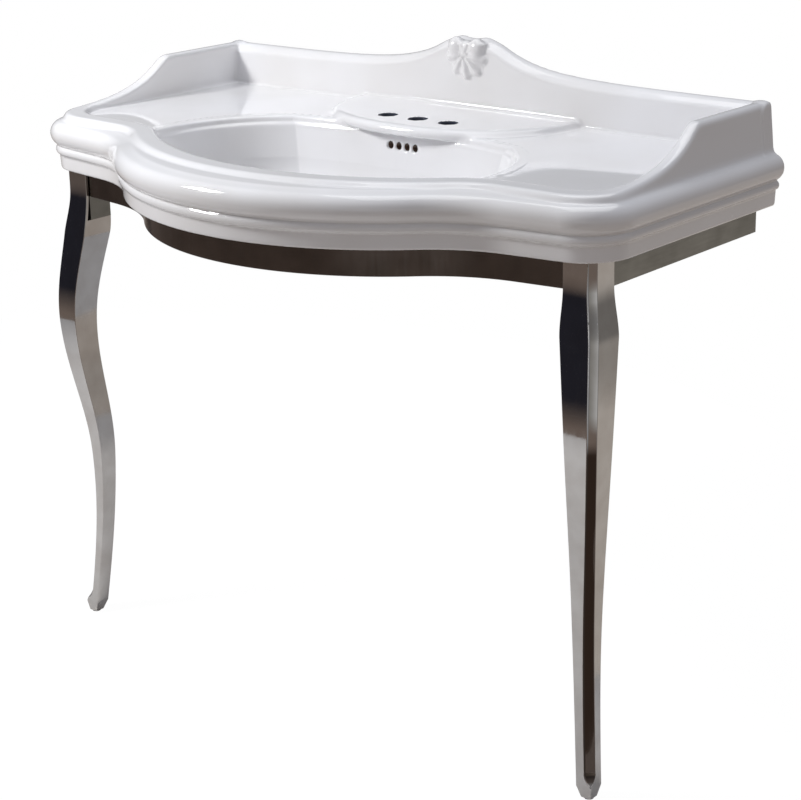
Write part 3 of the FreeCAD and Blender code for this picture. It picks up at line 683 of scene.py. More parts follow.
def crossing(first: Array, first_radius: float, second: Array, second_radius: float) -> Array:
    """Find where two circles cross, on the left of the way from the first to the second.

    The crossing lies on the line between the centres at a share of its length, and then out
    from it by the height of the triangle of the radii.

    Args:
        first: the first circle's centre.
        first_radius: its radius.
        second: the second circle's centre.
        second_radius: its radius.

    Returns:
        The crossing.
    """
    between = second - first
    square = between @ between
    share = (first_radius ** 2 - second_radius ** 2 + square) / (2 * square)
    height = math.sqrt(first_radius ** 2 / square - share ** 2)
    return first + between * share + np.array([-between[1], between[0]]) * height


@dataclass
class BowlPlan:
    """The bowl's outline: a bowed front, a wide arc at each side and a shallow bow behind.

    A tight arc rounds the tip where the front meets a side, and another the back corner.
    """

    drain: tuple[float, float] = (0.0, Bores.drain_line)
    bow: tuple[float, float] = (0.0, 224.0)
    bow_radius: float = 430.0
    side: tuple[float, float] = (103.8, -58.1)
    side_radius: float = 189.1
    back: tuple[float, float] = (0.0, -818.0)
    back_radius: float = 944.0
    tip_radius: float = 30.0
    corner_radius: float = 12.0
    arc_points: int = 60

    def __post_init__(self) -> None:
        """Sample the arcs as distances from the drain by angle from the front."""
        bow, side, back = (np.array(c) for c in (self.bow, self.side, self.back))
        tip = crossing(bow, self.bow_radius - self.tip_radius,
                       side, self.side_radius - self.tip_radius)
        corner = crossing(side, self.side_radius - self.corner_radius,
                          back, self.back_radius - self.corner_radius)
        arcs_round = [
            (bow, self.bow_radius, np.array([0.0, -1.0]), tip - bow),
            (tip, self.tip_radius, tip - bow, tip - side),
            (side, self.side_radius, tip - side, corner - side),
            (corner, self.corner_radius, corner - side, corner - back),
            (back, self.back_radius, corner - back, np.array([0.0, 1.0])),
        ]
        points = []
        share = np.linspace(0, 1, self.arc_points)[:, None]
        for centre, radius, start, end in arcs_round:
            way = (start / np.linalg.norm(start) * (1 - share)
                   + end / np.linalg.norm(end) * share)
            points.append(centre + way / np.linalg.norm(way, axis=1, keepdims=True) * radius)
        arms = np.concatenate(points) - np.array(self.drain)
        angles = np.arctan2(arms[:, 0], -arms[:, 1])
        order = np.argsort(angles)
        self.angles = angles[order]
        self.radii = np.linalg.norm(arms, axis=1)[order]

    def reach(self, angle: Array) -> Array:
        """Return the outline's distance from the drain at angles from the front."""
        return np.interp(angle, self.angles, self.radii)


# ---------------------------------------------------------------- the basin
@dataclass
class Bowl:
    """The bowl: its plan shrinks with depth, down to a floor that falls to the drain."""

    plan: BowlPlan = field(default_factory=BowlPlan)
    rim: float = RIM_HEIGHT
    depth: float = 148.0
    step_depth: float = 13.0
    step_in: float = 4.5
    step_ease: float = 1.2
    knee_depth: float = 62.0
    lean: float = 0.05
    fall: float = 4.0

    def distance(self, at: Spots, wall: float, stepped: bool) -> Array:
        """Return the distance from the bowl's form, grown outward by a wall.

        The distance about the drain is divided by the outline's, so each level is a smaller
        copy of the one above. The wall leans in to a knee and then follows a quarter of an
        ellipse into the floor. The step under the rim is a logistic curve in the depth.

        Args:
            at: the places.
            wall: how far outside the hollow the form lies.
            stepped: whether the form has the step under the rim.

        Returns:
            The signed distances.
        """
        x, y, z = at
        along = y - self.plan.drain[1]
        reach = np.sqrt(x * x + along * along) + TINY
        edge = self.plan.reach(np.arctan2(np.abs(x), -along)) + wall
        depth = self.rim - z
        inset = 0.0
        if stepped:
            inset = self.step_in / (1 + np.exp((self.step_depth - depth) / self.step_ease))
        share = reach / (edge - inset)
        sunk = np.clip((depth - self.step_depth) / (self.knee_depth - self.step_depth), 0, 1)
        side = np.maximum(2 * (share + self.lean * sunk) - 1, 0)
        turn = self.depth + wall - self.knee_depth - self.fall * np.minimum(2 * share, 1)
        down = np.maximum((depth - self.knee_depth) / turn, 0)
        size = np.sqrt(side * side + down * down) + TINY
        slope = np.sqrt((side * 2 / edge) ** 2 + (down / turn) ** 2) / size + TINY
        return (size - 1) / slope


@dataclass
class Skirt:
    """The moulded skirt: plinth, small ovolo and bold roll under a sloping top."""

    plan: SerpentinePlan = field(default_factory=lambda: SerpentinePlan(
        516.5, 283.5, 171.5, 410.0, 200.0, 8.0, 65.0))
    bottom: float = FOOT_HEIGHT
    foot_round: float = 4.0
    plinth_top: float = 765.0
    plinth_draft: float = 0.05
    plinth_round: float = 3.0
    ovolo_out: float = 6.3
    ovolo_middle: float = 770.5
    ovolo_half: float = 6.0
    ovolo_round: float = 6.0
    ovolo_cove: float = 2.5
    roll_centre: tuple[float, float] = (-6.0, 795.0)
    roll_radius: float = 19.0
    roll_cove: float = 4.0
    core_in: float = 5.0
    core_cove: float = 2.0
    top: float = 816.5
    top_slope: float = 0.045
    top_level: float = 10.0
    top_run: float = 90.0
    top_round: float = 14.0

    def distance(self, skirt: Array, z: Array) -> Array:
        """Return the distance from the skirt's body.

        The plinth and the ovolo are the outline moved in or out between two heights. The roll
        is a circle in the distance from the outline and the height. The core fills the plan
        behind them, up to a top that rises inward.

        Args:
            skirt: the distances from the skirt's outline.
            z: the heights.

        Returns:
            The signed distances.
        """
        top = self.top + np.clip(-skirt - self.top_level, 0, self.top_run) * self.top_slope
        plinth = smooth_max(skirt - (z - self.bottom) * self.plinth_draft,
                            z - self.plinth_top, self.plinth_round)
        plinth = smooth_max(plinth, self.bottom - z, self.foot_round)
        ovolo = smooth_max(skirt - self.ovolo_out,
                           np.abs(z - self.ovolo_middle) - self.ovolo_half, self.ovolo_round)
        radial = skirt - self.roll_centre[0]
        high = z - self.roll_centre[1]
        roll = np.sqrt(radial * radial + high * high) - self.roll_radius
        core = smooth_max(skirt + self.core_in, z - top, self.top_round)
        core = smooth_max(core, self.bottom - z, self.core_cove)
        body = smooth_min(core, plinth, self.core_cove)
        body = smooth_min(body, ovolo, self.ovolo_cove)
        return smooth_min(body, roll, self.roll_cove)


@dataclass
class Splash:
    """The raised edge round the deck, the side splashes and the backsplash.

    They all start the distance low above the foot.
    """

    rim: float = RIM_HEIGHT
    top: float = 882.5
    low: float = 60.0
    side_in: float = 7.0
    side_draft: float = 0.10
    side_width: float = 36.0
    side_round: float = 3.0
    inner_draft: float = 0.06
    inner_round: float = 4.0
    bead_round: float = 9.0
    swoop_low: float = 0.5
    swoop_rise: float = 22.0
    swoop_line: float = 56.0
    swoop_run: float = 60.0
    swoop_round: float = 10.0
    face: float = BACKSPLASH_FACE
    crest: float = 927.0
    crest_round: float = 12.0
    sweep_low: float = 1.0
    sweep_rise: float = 9.0
    sweep_across: float = 150.0
    sweep_run: float = 66.0
    swell: float = 2.5
    swell_across: float = 22.0
    swell_run: float = 11.0
    bevel: tuple[float, float] = (0.65, 0.76)
    bevel_drop: float = 11.0
    bevel_round: float = 2.5
    panel_round: float = 5.0
    panel_cove: float = 7.0

    def side_line(self, y: Array) -> Array:
        """Return the side splash's top: an exponential swoop from the rim, cut off level."""
        swoop = self.rim + self.swoop_low + self.swoop_rise * np.exp(
            (y - self.swoop_line) / self.swoop_run)
        return smooth_min(swoop, self.top, self.swoop_round)

    def crest_line(self, x: Array) -> Array:
        """Return the backsplash's top: level at the ends, rising to a crest in the middle.

        The rise is an exponential in the distance from the middle, cut off below the crest,
        with a small swell each side of the centre where the shell's scrolls pass over it.

        Args:
            x: distances across.

        Returns:
            The heights.
        """
        across = np.abs(x)
        rise = self.top - self.sweep_low + self.sweep_rise * np.exp(
            (self.sweep_across - across) / self.sweep_run)
        swell = self.swell * np.exp(-((across - self.swell_across) / self.swell_run) ** 2)
        return smooth_min(rise, self.crest + swell, self.crest_round)

    def distance(self, skirt: Array, recess: Array, at: Spots) -> Array:
        """Return the distance from the edge bead, the side splashes and the backsplash.

        Bead and side splashes fill the band between the skirt's outline and the deck's, both
        tapered with height, up to the side line. The backsplash fills the plan behind its
        face up to the crest line, and a sloping plane cuts its front edge.

        Args:
            skirt: the distances from the skirt's outline.
            recess: the distances from the deck's outline.
            at: the places.

        Returns:
            The signed distances.
        """
        x, y, z = at
        outer = skirt + self.side_in + self.side_draft * (z - self.rim)
        bead = smooth_max(outer, recess - self.side_width, self.side_round)
        bead = smooth_max(bead, -recess - self.inner_draft * (z - self.rim), self.inner_round)
        bead = smooth_max(bead, z - self.side_line(y), self.bead_round)
        crest = self.crest_line(x)
        bevel = ((self.face - y) * self.bevel[0]
                 + (z - crest + self.bevel_drop) * self.bevel[1])
        panel = smooth_max(np.maximum(self.face - y, outer), bevel, self.bevel_round)
        panel = smooth_max(panel, z - crest, self.panel_round)
        body = smooth_min(bead, panel, self.panel_cove)
        return np.maximum(body, FOOT_HEIGHT - z + self.low)


@dataclass
class TapPlatform:
    """The raised platform for the taps: a rounded slab, half a superellipse in plan."""

    back: float = BACKSPLASH_FACE
    front: float = 96.0
    half_width: float = 208.0
    power: float = 2.3
    steepness: float = 0.85
    middle: float = 819.5
    half_height: float = 8.5
    edge_round: float = 11.0

    def distance(self, at: Spots) -> Array:
        """Return the distance from the platform.

        A place's shares of the half width and of the depth are raised to a power, added and
        brought back by its root, which is 1 on the outline.

        Args:
            at: the places.

        Returns:
            The signed distances.
        """
        x, y, z = at
        deep = self.back - self.front
        u = np.abs(x) / self.half_width
        v = np.clip(self.back - y, 0, None) / deep
        ring = (u ** self.power + v ** self.power) ** (1 / self.power)
        plan = (ring - 1) * deep * self.steepness
        return smooth_max(plan, np.abs(z - self.middle) - self.half_height, self.edge_round)


@dataclass
class Shell:
    """The scallop shell on the crest: a fan of ribs under two scrolls and a boss.

    A knob is a squashed ball: its place across, its height, its squash across, along and up,
    its radius and its fillet.
    """

    face: float = BACKSPLASH_FACE
    hub: float = 906.0
    ribs: float = 9.0
    rib_depth: float = 2.0
    rib_start: float = 20.0
    radius: float = 36.0
    scallop: float = 2.6
    dome: float = 9.0
    steepness: float = 0.6
    root: float = 14.0
    top: float = 925.0
    top_round: float = 4.0
    knobs: tuple[tuple[float, ...], ...] = (
        (19.0, 913.0, 1.0, 1.1, 0.75, 13.5, 3.0), (0.0, 912.0, 1.1, 1.0, 0.7, 10.0, 2.5))

    def distance(self, at: Spots) -> Array:
        """Return the distance from the shell.

        The fan's height off the wall is a dome times a ripple in the angle about its hub,
        and its edge is scalloped with the same ripple.

        Args:
            at: the places.

        Returns:
            The signed distances.
        """
        x, y, z = at
        drop = z - self.hub
        reach = np.sqrt(x * x + drop * drop) + TINY
        ripple = np.cos(np.arctan2(x, -drop) * self.ribs)
        edge = self.radius + self.scallop * ripple
        dome = np.clip(1 - (reach / edge) ** 2, 0, 1) ** 0.5
        proud = dome * (
            self.dome + self.rib_depth * ripple * np.clip(reach / self.rib_start, 0, 1))
        fan = np.maximum((self.face - y) - proud, reach - edge)
        fan = np.maximum(fan * self.steepness, self.face - self.root - y)
        body = smooth_max(fan, z - self.top, self.top_round)
        for across, height, wide, deep, tall, radius, cove in self.knobs:
            knob = np.sqrt(((np.abs(x) - across) * wide) ** 2 + ((z - height) * tall) ** 2
                           + ((y - self.face) * deep) ** 2) - radius
            body = smooth_min(body, knob, cove)
        return body


@dataclass
class Underside:
    """The hollow under the deck, with a ledge inside the skirt that rests on the frame."""

    wall: float = 15.0
    ceiling: float = 803.0
    ceiling_round: float = 14.0
    back_gap: float = 1.0
    back_round: float = 10.0
    ledge_in: float = 46.0
    ledge_top: float = 757.0
    ledge_round: float = 3.0

    def distance(self, skirt: Array, at: Spots) -> Array:
        """Return the distance from the hollow.

        It is the skirt's outline moved in by the wall, below a level ceiling and in front of
        the back wall. Below the ledge's top it is narrower by the ledge.

        Args:
            skirt: the distances from the skirt's outline.
            at: the places.

        Returns:
            The signed distances, negative in the hollow.
        """
        hollow = smooth_max(skirt + self.wall, at.z - self.ceiling, self.ceiling_round)
        hollow = smooth_max(hollow, at.y - BACKSPLASH_FACE - self.back_gap, self.back_round)
        above = smooth_min(skirt + self.ledge_in, self.ledge_top - at.z, self.ledge_round)
        return smooth_max(hollow, above, self.ledge_round)


@dataclass
class Basin:
    """The one-piece ceramic basin, as a distance field in millimetres.

    Every form is the signed distance of a plain shape, and forms are joined with a fillet
    or cut with a rounded edge, as the glaze does on the real casting.
    """

    skirt: Skirt = field(default_factory=Skirt)
    recess: SerpentinePlan = field(default_factory=lambda: SerpentinePlan(
        487.0, 206.0, 130.0, 430.0, 150.0, 2.0, 50.0))
    splash: Splash = field(default_factory=Splash)
    underside: Underside = field(default_factory=Underside)
    bowl: Bowl = field(default_factory=Bowl)
    platform: TapPlatform = field(default_factory=TapPlatform)
    shell: Shell = field(default_factory=Shell)
    bores: Bores = Bores()
    deck: float = 818.0
    deck_low: float = 790.0
    deck_out: float = 4.0
    deck_round: float = 3.0
    splash_cove: float = 7.0
    underside_round: float = 5.0
    bowl_wall: float = 11.5
    bowl_wall_top: float = 812.0
    bowl_cove: float = 10.0
    bowl_round: float = 7.0
    boss: tuple[float, float, float] = (42.0, 654.5, 676.0)
    boss_cove: float = 6.0
    platform_cove: float = 6.0
    shell_cove: float = 2.5
    bore_round: float = 2.0
    back_round: float = 5.0
    grid_low: tuple[float, float, float] = (-535.7, -301.3, 650.1)
    grid_high: tuple[float, float, float] = (535.7, 301.0, 937.0)
    grid_step: float = 3.2
    most_triangles: int = 190_000
    settle_rounds: int = 2
    longest_move: float = 1.5
    least_square: float = 0.25

    def distance(self, at: Spots) -> Array:
        """Return the basin's field: solid forms joined, then hollows and holes cut.

        Args:
            at: the places.

        Returns:
            The signed distances, negative in the ceramic.
        """
        x, y, z = at
        skirt = self.skirt.plan.distance(x, y)
        recess = self.recess.distance(x, y)
        deck = np.maximum(np.maximum(z - self.deck, recess - self.deck_out),
                          self.deck_low - z)
        sunk = smooth_max(recess, self.deck - z, self.deck_round)
        body = smooth_max(self.skirt.distance(skirt, z), -sunk, self.deck_round)
        body = smooth_min(body, self.splash.distance(skirt, recess, at), self.splash_cove)
        body = smooth_max(body, -self.underside.distance(skirt, at), self.underside_round)
        body = smooth_min(body, deck, self.deck_round)
        wall = np.maximum(self.bowl.distance(at, self.bowl_wall, False),
                          z - self.bowl_wall_top)
        radius, low, high = self.boss
        boss = np.sqrt(x * x + (y - self.bores.drain_line) ** 2) - radius
        boss = np.maximum(np.maximum(boss, z - high), low - z)
        body = smooth_min(body, smooth_min(wall, boss, self.boss_cove), self.bowl_cove)
        body = smooth_max(body, -self.bowl.distance(at, 0.0, True), self.bowl_round)
        body = smooth_min(body, self.platform.distance(at), self.platform_cove)
        body = smooth_min(body, self.shell.distance(at), self.shell_cove)
        body = smooth_max(body, -self.bores.distance(at), self.bore_round)
        return smooth_max(body, y - WALL_PLANE, self.back_round)

    def build(self, finish: bpy.types.Material) -> bpy.types.Object:
        """Make the basin's mesh.

        The net's points are drawn onto the surface, the mesh is thinned where it is flat,
        and its normals come from the field's slope.

        Args:
            finish: the glaze.

        Returns:
            The basin.
        """
        net = SurfaceNet(self.grid_low, self.grid_high, self.grid_step)
        points, quads = net.extract(self.distance)
        rough = make_piece("rough_basin", self.settle(points), quads, finish)
        thin = rough.modifiers.new("thin", "DECIMATE")
        thin.ratio = min(1.0, self.most_triangles / (2 * len(quads)))
        result = rough.evaluated_get(bpy.context.evaluated_depsgraph_get())
        mesh = bpy.data.meshes.new_from_object(result)
        bpy.data.objects.remove(rough)
        mesh.calc_loop_triangles()
        triangles = np.empty(len(mesh.loop_triangles) * 3, dtype=np.int32)
        mesh.loop_triangles.foreach_get("vertices", triangles)
        flat = np.empty(len(mesh.vertices) * 3, dtype=np.float32)
        mesh.vertices.foreach_get("co", flat)
        bpy.data.meshes.remove(mesh)
        points = self.settle(flat.reshape(-1, 3).astype(np.float64) / MM)
        slope = gradient(self.distance, points)
        slope /= np.linalg.norm(slope, axis=1, keepdims=True) + TINY
        return make_piece("basin_ceramic", points, triangles.reshape(-1, 3), finish, slope)

    def settle(self, points: Array) -> Array:
        """Draw points onto the surface along the field's slope.

        Each round moves a point by the field's value over the squared slope, within a limit.

        Args:
            points: the points, one row each.

        Returns:
            The points on the surface, none of them past the wall's plane.
        """
        for _ in range(self.settle_rounds):
            slope = gradient(self.distance, points)
            value = self.distance(Spots(*points.T))
            move = value / np.maximum((slope ** 2).sum(axis=1), self.least_square)
            limit = self.longest_move
            points = points - slope * np.clip(move, -limit, limit)[:, None]
        points[:, 1] = np.minimum(points[:, 1], WALL_PLANE)
        return points


# ---------------------------------------------------------------- the stand
@dataclass
class Tube:
    """A grid of points whose rows are closed rings, with the unit normals at the points.

    The painted reflection share, from 0 to 1, says where the steel is painted dark brown:
    a painted reflection of the dark room, low in the leg's flute.
    """

    points: Array
    normals: Array
    painted_reflection_share: Array

    def mirrored(self) -> "Tube":
        """Return the tube's mirror image in the middle plane, its rings turned about."""
        flip = np.array([-1.0, 1.0, 1.0])
        return Tube((self.points * flip)[:, ::-1], (self.normals * flip)[:, ::-1],
                    self.painted_reflection_share[:, ::-1])


def make_tubes(name: str, tubes: list[Tube], finish: bpy.types.Material
               ) -> bpy.types.Object:
    """Make one object of tubes that are closed by a flat face at each end.

    A ring runs anticlockwise when it is seen from the tube's far end. The walls take the
    tubes' normals, and an end takes the normal of its own plane.

    Args:
        name: the piece's name.
        tubes: the grids of points, in millimetres.
        finish: the material.

    Returns:
        The new object, at the origin.
    """
    points, faces, normals = [], [], []
    first = 0
    for tube in tubes:
        rows, columns = tube.points.shape[:2]
        quads = tube_faces(rows, columns)
        low = np.arange(columns)[::-1]
        high = (rows - 1) * columns + np.arange(columns)
        points.append(tube.points.reshape(-1, 3))
        faces += (quads + first).tolist() + [(low + first).tolist(), (high + first).tolist()]
        middles = tube.points.mean(axis=1)
        ends = [middles[0] - middles[1], middles[-1] - middles[-2]]
        normals.append(tube.normals.reshape(-1, 3)[quads.ravel()])
        normals += [np.tile(end / np.linalg.norm(end), (columns, 1)) for end in ends]
        first += rows * columns
    mesh = bpy.data.meshes.new(name)
    mesh.from_pydata(np.concatenate(points) * MM, [], faces)
    mesh.polygons.foreach_set("use_smooth", np.ones(len(faces), dtype=bool))
    mesh.normals_split_custom_set(np.concatenate(normals).tolist())
    # Painted reflection: each point's share of the painted dark reflection, for the steel's
    # colour.
    painted_reflection_mask = mesh.attributes.new("painted_reflection_share", "FLOAT", "POINT")
    painted_reflection_mask.data.foreach_set("value", np.concatenate(
        [tube.painted_reflection_share.astype(np.float32).ravel() for tube in tubes]))
    mesh.materials.append(finish)
    piece = bpy.data.objects.new(name, mesh)
    bpy.context.scene.collection.objects.link(piece)
    return piece


def arcs(centre: tuple[Array, Array], radius: Array | float, start: Array | float,
         end: Array | float, steps: int, side: int = 1) -> tuple[Array, Array]:
    """Return an arc's points and outward normals, one row to a level.

    A point is the centre plus the radius times (cos a, sin a), for angles a from start to
    end. The normal is the same direction, or its opposite where the arc is a cove.

    Args:
        centre: the centres across and along, one value to a level.
        radius: the arc's radius.
        start: the first angle in radians.
        end: the last angle in radians.
        steps: the number of points.
        side: 1 for a rounded edge and -1 for a cove.

    Returns:
        The points and the normals, as levels by steps by two.
    """
    share = np.linspace(0, 1, steps)
    levels = np.ones_like(centre[0])[:, None]
    first = np.broadcast_to(start, centre[0].shape)[:, None]
    last = np.broadcast_to(end, centre[0].shape)[:, None]
    angle = (first + (last - first) * share) * levels
    way = np.stack([np.cos(angle), np.sin(angle)], axis=-1)
    middle = np.stack(centre, axis=-1)[:, None, :]
    reach = np.broadcast_to(radius, centre[0].shape)[:, None, None]
    return middle + reach * way, side * way


@dataclass
class Leg:
    """A cabriole leg: a square steel shank with a shallow flute down its outer corner.

    Its top is an open skin of sheet on two sides, which wraps the block of the frame.
    """

    corner: tuple[float, float] = (496.5, -104.6)
    sole: float = 2.0
    bevel: float = 16.0
    sole_width: float = 16.0
    skin_low: float = 663.0
    top: float = 739.0
    skin: float = 5.0
    shoulder: float = 54.6
    ankle: float = 24.6
    taper: float = 0.068
    taper_start: float = 199.0
    taper_ease: float = 60.0
    knee_height: float = 500.0
    knee_top: float = 720.0
    knee_out: float = 27.6
    knee_forward: float = 6.0
    neck_low: float = 636.0
    neck_high: float = 706.0
    neck_in: float = 8.0
    ankle_height: float = 275.0
    ankle_out: float = 8.4
    foot_out: float = 36.0
    flute_top: float = 9.4
    flute_foot: float = 12.0
    flute_depth: float = 0.56
    flute_end: float = 22.0
    flute_least: float = 0.003
    # Painted reflection: the flute is painted dark below this height, fading in over the span
    # below it.
    painted_reflection_top: float = 514.0
    painted_reflection_fade: float = 16.0
    edge: float = 1.1
    edge_points: int = 4
    cove_points: int = 7
    levels: tuple[int, int, int] = (9, 150, 20)

    def swing(self, height: Array) -> Array:
        """Return how far out along the diagonal the leg's middle lies at each height.

        Cosine waves join level: in from the knee to the top, in from the knee to the ankle
        and out again from the ankle to the foot.

        Args:
            height: the heights.

        Returns:
            The distances out.
        """
        rise = np.clip((height - self.knee_height) / (self.knee_top - self.knee_height), 0, 1)
        fall = np.clip((self.knee_height - height) / (self.knee_height - self.ankle_height),
                       0, 1)
        kick = np.clip(1 - height / self.ankle_height, 0, 1)
        above = self.knee_out * (1 + np.cos(math.pi * rise)) / 2
        below = self.ankle_out + (self.knee_out - self.ankle_out) * (
            1 + np.cos(math.pi * fall)) / 2
        foot = self.ankle_out + (self.foot_out - self.ankle_out) * (
            1 - np.cos(math.pi / 2 * kick))
        lower = np.where(height > self.ankle_height, below, foot)
        return np.where(height > self.knee_height, above, lower)

    def width(self, height: Array) -> Array:
        """Return the leg's width: slim below, widening steadily, and bevelled at the sole.

        The widening is the logarithm of one plus an exponential, which eases into a slope.
        A cosine wave draws the neck in under the basin.

        Args:
            height: the heights.

        Returns:
            The widths.
        """
        ease = self.taper_ease
        rise = ease * np.log1p(np.exp((height - self.taper_start) / ease))
        width = np.minimum(self.shoulder, self.ankle + self.taper * rise)
        neck = np.clip((height - self.neck_low) / (self.neck_high - self.neck_low), 0, 1)
        width = width - self.neck_in * (1 - np.cos(math.pi * neck)) / 2
        share = np.clip((height - self.sole) / self.bevel, 0, 1)
        return width + (self.sole_width - width) * (1 - share)

    def ring(self, height: Array, open_skin: bool) -> tuple[Array, Array]:
        """Return the section at each height about its middle, anticlockwise, and its normals.

        The flute is a cove through three points: one on each face at the flute's width from
        the corner, and one on the diagonal. Its circle's radius is (c^2 + s^2) / 2s, for half
        the chord c and the sagitta s. Arcs of a small radius round every edge.

        Args:
            height: the heights.
            open_skin: whether the section is the open skin of the top.

        Returns:
            The points and the normals, as heights by points by two.
        """
        half = self.width(height) / 2
        turn = math.pi / 2
        edge = self.edge
        count = self.edge_points
        share = np.clip(height / self.knee_height, 0, 1)
        flute = self.flute_foot + (self.flute_top - self.flute_foot) * share
        flute = flute * np.sqrt(
            np.clip((height - self.flute_end) / flute, self.flute_least, 1))
        sagitta = (self.flute_depth * math.sqrt(2) - 1 / math.sqrt(2)) * flute
        radius = (flute ** 2 / 2 + sagitta ** 2) / (2 * sagitta)
        beyond = radius / math.sqrt(2) - self.flute_depth * flute
        run = np.sqrt((radius + edge) ** 2 - (beyond + edge) ** 2)
        lean = np.arctan2(beyond + edge, run)
        near = half + beyond - run
        inner = half - edge
        parts = [
            arcs((near, -inner), edge, -turn, -lean, count),
            arcs((half + beyond, -half - beyond), radius, 2 * turn - lean, turn + lean,
                 self.cove_points, -1),
            arcs((inner, -near), edge, lean - turn, 0, count),
            arcs((inner, inner), edge, 0, turn, count),
        ]
        if open_skin:
            parts += [
                arcs((half - self.skin + edge, inner), edge, turn, 2 * turn, count),
                arcs((half - self.skin - edge, self.skin - half + edge), edge, 0, -turn,
                     count, -1),
                arcs((-inner, self.skin - half - edge), edge, turn, 2 * turn, count),
            ]
        else:
            parts.append(arcs((-inner, inner), edge, turn, 2 * turn, count))
        parts.append(arcs((-inner, -inner), edge, 2 * turn, 3 * turn, count))
        return (np.concatenate([points for points, _ in parts], axis=1),
                np.concatenate([normals for _, normals in parts], axis=1))

    def tube(self, height: Array, open_skin: bool) -> Tube:
        """Return the right leg's surface between the first height and the last.

        A normal is the cross product of the way round the section and the way up the leg:
        the section's own normal, tipped by how fast the surface moves out with height.

        Args:
            height: the heights, rising.
            open_skin: whether this is the open skin of the top.

        Returns:
            The surface.
        """
        step = self.swing(height) / math.sqrt(2)
        flat, out = self.ring(height, open_skin)
        x = flat[..., 0] + (self.corner[0] - self.shoulder / 2 + step)[:, None]
        lead = np.clip((self.swing(height) - self.ankle_out)
                       / (self.knee_out - self.ankle_out), 0, 1)
        lead = np.where(height > self.ankle_height, lead, 0) * self.knee_forward
        y = flat[..., 1] + (self.corner[1] + self.shoulder / 2 - step - lead)[:, None]
        z = np.broadcast_to(height[:, None], x.shape)
        tip = -(out[..., 0] * np.gradient(x, height, axis=0)
                + out[..., 1] * np.gradient(y, height, axis=0))
        normals = np.stack([out[..., 0], out[..., 1], tip], axis=-1)
        normals /= np.linalg.norm(normals, axis=-1, keepdims=True)
        # Painted reflection: the flute's columns, from just above its end up to the given height,
        # are marked for the painted dark reflection.
        column = np.arange(x.shape[1])
        in_cove = (column >= self.edge_points - 1) & (
            column <= self.edge_points + self.cove_points)
        below = np.clip((self.painted_reflection_top - height) / self.painted_reflection_fade, 0, 1)
        above = np.clip((height - self.flute_end) / self.edge, 0, 1)
        return Tube(np.stack([x, y, z], axis=-1), normals,
                    (below * above)[:, None] * in_cove)

    def build(self, finish: bpy.types.Material) -> dict[str, bpy.types.Object]:
        """Make both legs.

        Args:
            finish: the polished steel.

        Returns:
            The legs by the names of the nodes that they replace.
        """
        in_foot, in_shank, in_skin = self.levels
        foot = np.linspace(self.sole, self.sole + self.bevel, in_foot)
        shank = np.linspace(self.sole + self.bevel, self.skin_low, in_shank)[1:]
        skin = np.linspace(self.skin_low, self.top, in_skin)
        right = [self.tube(np.concatenate([foot, shank]), False), self.tube(skin, True)]
        left = [tube.mirrored() for tube in right]
        return {"right_leg": make_tubes("right_leg_steel", right, finish),
                "left_leg": make_tubes("left_leg_steel", left, finish)}


@dataclass
class Apron:
    """The front rail: a flat steel bar bent to the basin's serpentine front."""

    plan: SerpentinePlan
    inset: float = 27.0
    thickness: float = 5.0
    half_length: float = 446.5
    low: float = 699.5
    high: float = 739.0
    edge: float = 0.9
    edge_points: int = 4
    steps: tuple[int, int, int] = (90, 60, 12)

    def path(self) -> tuple[Array, Array]:
        """Return the way along the outline's front, left to right.

        The bow and the hollow are arcs and the shoulder is a line, each mirrored. The
        hollow's arc starts where it touches the bow and runs clockwise to the shoulder.

        Returns:
            The points and their outward normals.
        """
        plan = self.plan
        on_bow, on_hollow, on_line = self.steps
        bow_end = math.atan2(plan.to_hollow[1], plan.to_hollow[0])
        hollow_end = math.atan2(-plan.outward[1], -plan.outward[0]) - 2 * math.pi
        bow = np.linspace(-math.pi / 2, bow_end, on_bow)
        hollow = np.linspace(bow_end - math.pi, hollow_end, on_hollow)[1:]
        bow_way = np.stack([np.cos(bow), np.sin(bow)], axis=1)
        hollow_way = np.stack([np.cos(hollow), np.sin(hollow)], axis=1)
        share = np.linspace(0, 1, on_line)[1:, None]
        run = self.half_length - plan.shoulder[0] + plan.outward[0] * self.inset
        line = plan.shoulder + plan.along * share * run / plan.along[0]
        points = np.concatenate([plan.bow_centre + bow_way * plan.bow_radius,
                                 plan.hollow_centre + hollow_way * plan.hollow_radius, line])
        normals = np.concatenate([bow_way, -hollow_way,
                                  np.tile(plan.outward, (len(share), 1))])
        flip = np.array([-1.0, 1.0])
        return (np.concatenate([(points * flip)[:0:-1], points]),
                np.concatenate([(normals * flip)[:0:-1], normals]))

    def build(self, finish: bpy.types.Material) -> bpy.types.Object:
        """Make the rail: a rounded rectangle carried along the outline.

        Args:
            finish: the brushed steel.

        Returns:
            The rail.
        """
        path, out = self.path()
        turn = math.pi / 2
        middle = (self.low + self.high) / 2
        wide = self.thickness / 2 - self.edge
        tall = (self.high - self.low) / 2 - self.edge
        row = np.ones(1)
        parts = [arcs((row * across * wide, row * up * tall), self.edge, number * turn,
                      (number + 1) * turn, self.edge_points)
                 for number, (across, up) in enumerate(((1, 1), (-1, 1), (-1, -1), (1, -1)))]
        flat = np.concatenate([points for points, _ in parts], axis=1)[0]
        way = np.concatenate([normals for _, normals in parts], axis=1)[0]
        offset = flat[:, 0] - self.inset - self.thickness / 2
        level = path[:, None, :] + out[:, None, :] * offset[None, :, None]
        height = np.broadcast_to(flat[:, 1] + middle, level.shape[:2])
        sideways = out[:, None, :] * way[None, :, :1]
        upward = np.broadcast_to(way[:, 1], level.shape[:2])
        tube = Tube(np.concatenate([level, height[..., None]], axis=-1)[:, ::-1],
                    np.concatenate([sideways, upward[..., None]], axis=-1)[:, ::-1],
                    np.zeros(level.shape[:2]))
        return make_tubes("front_apron_steel", [tube], finish)


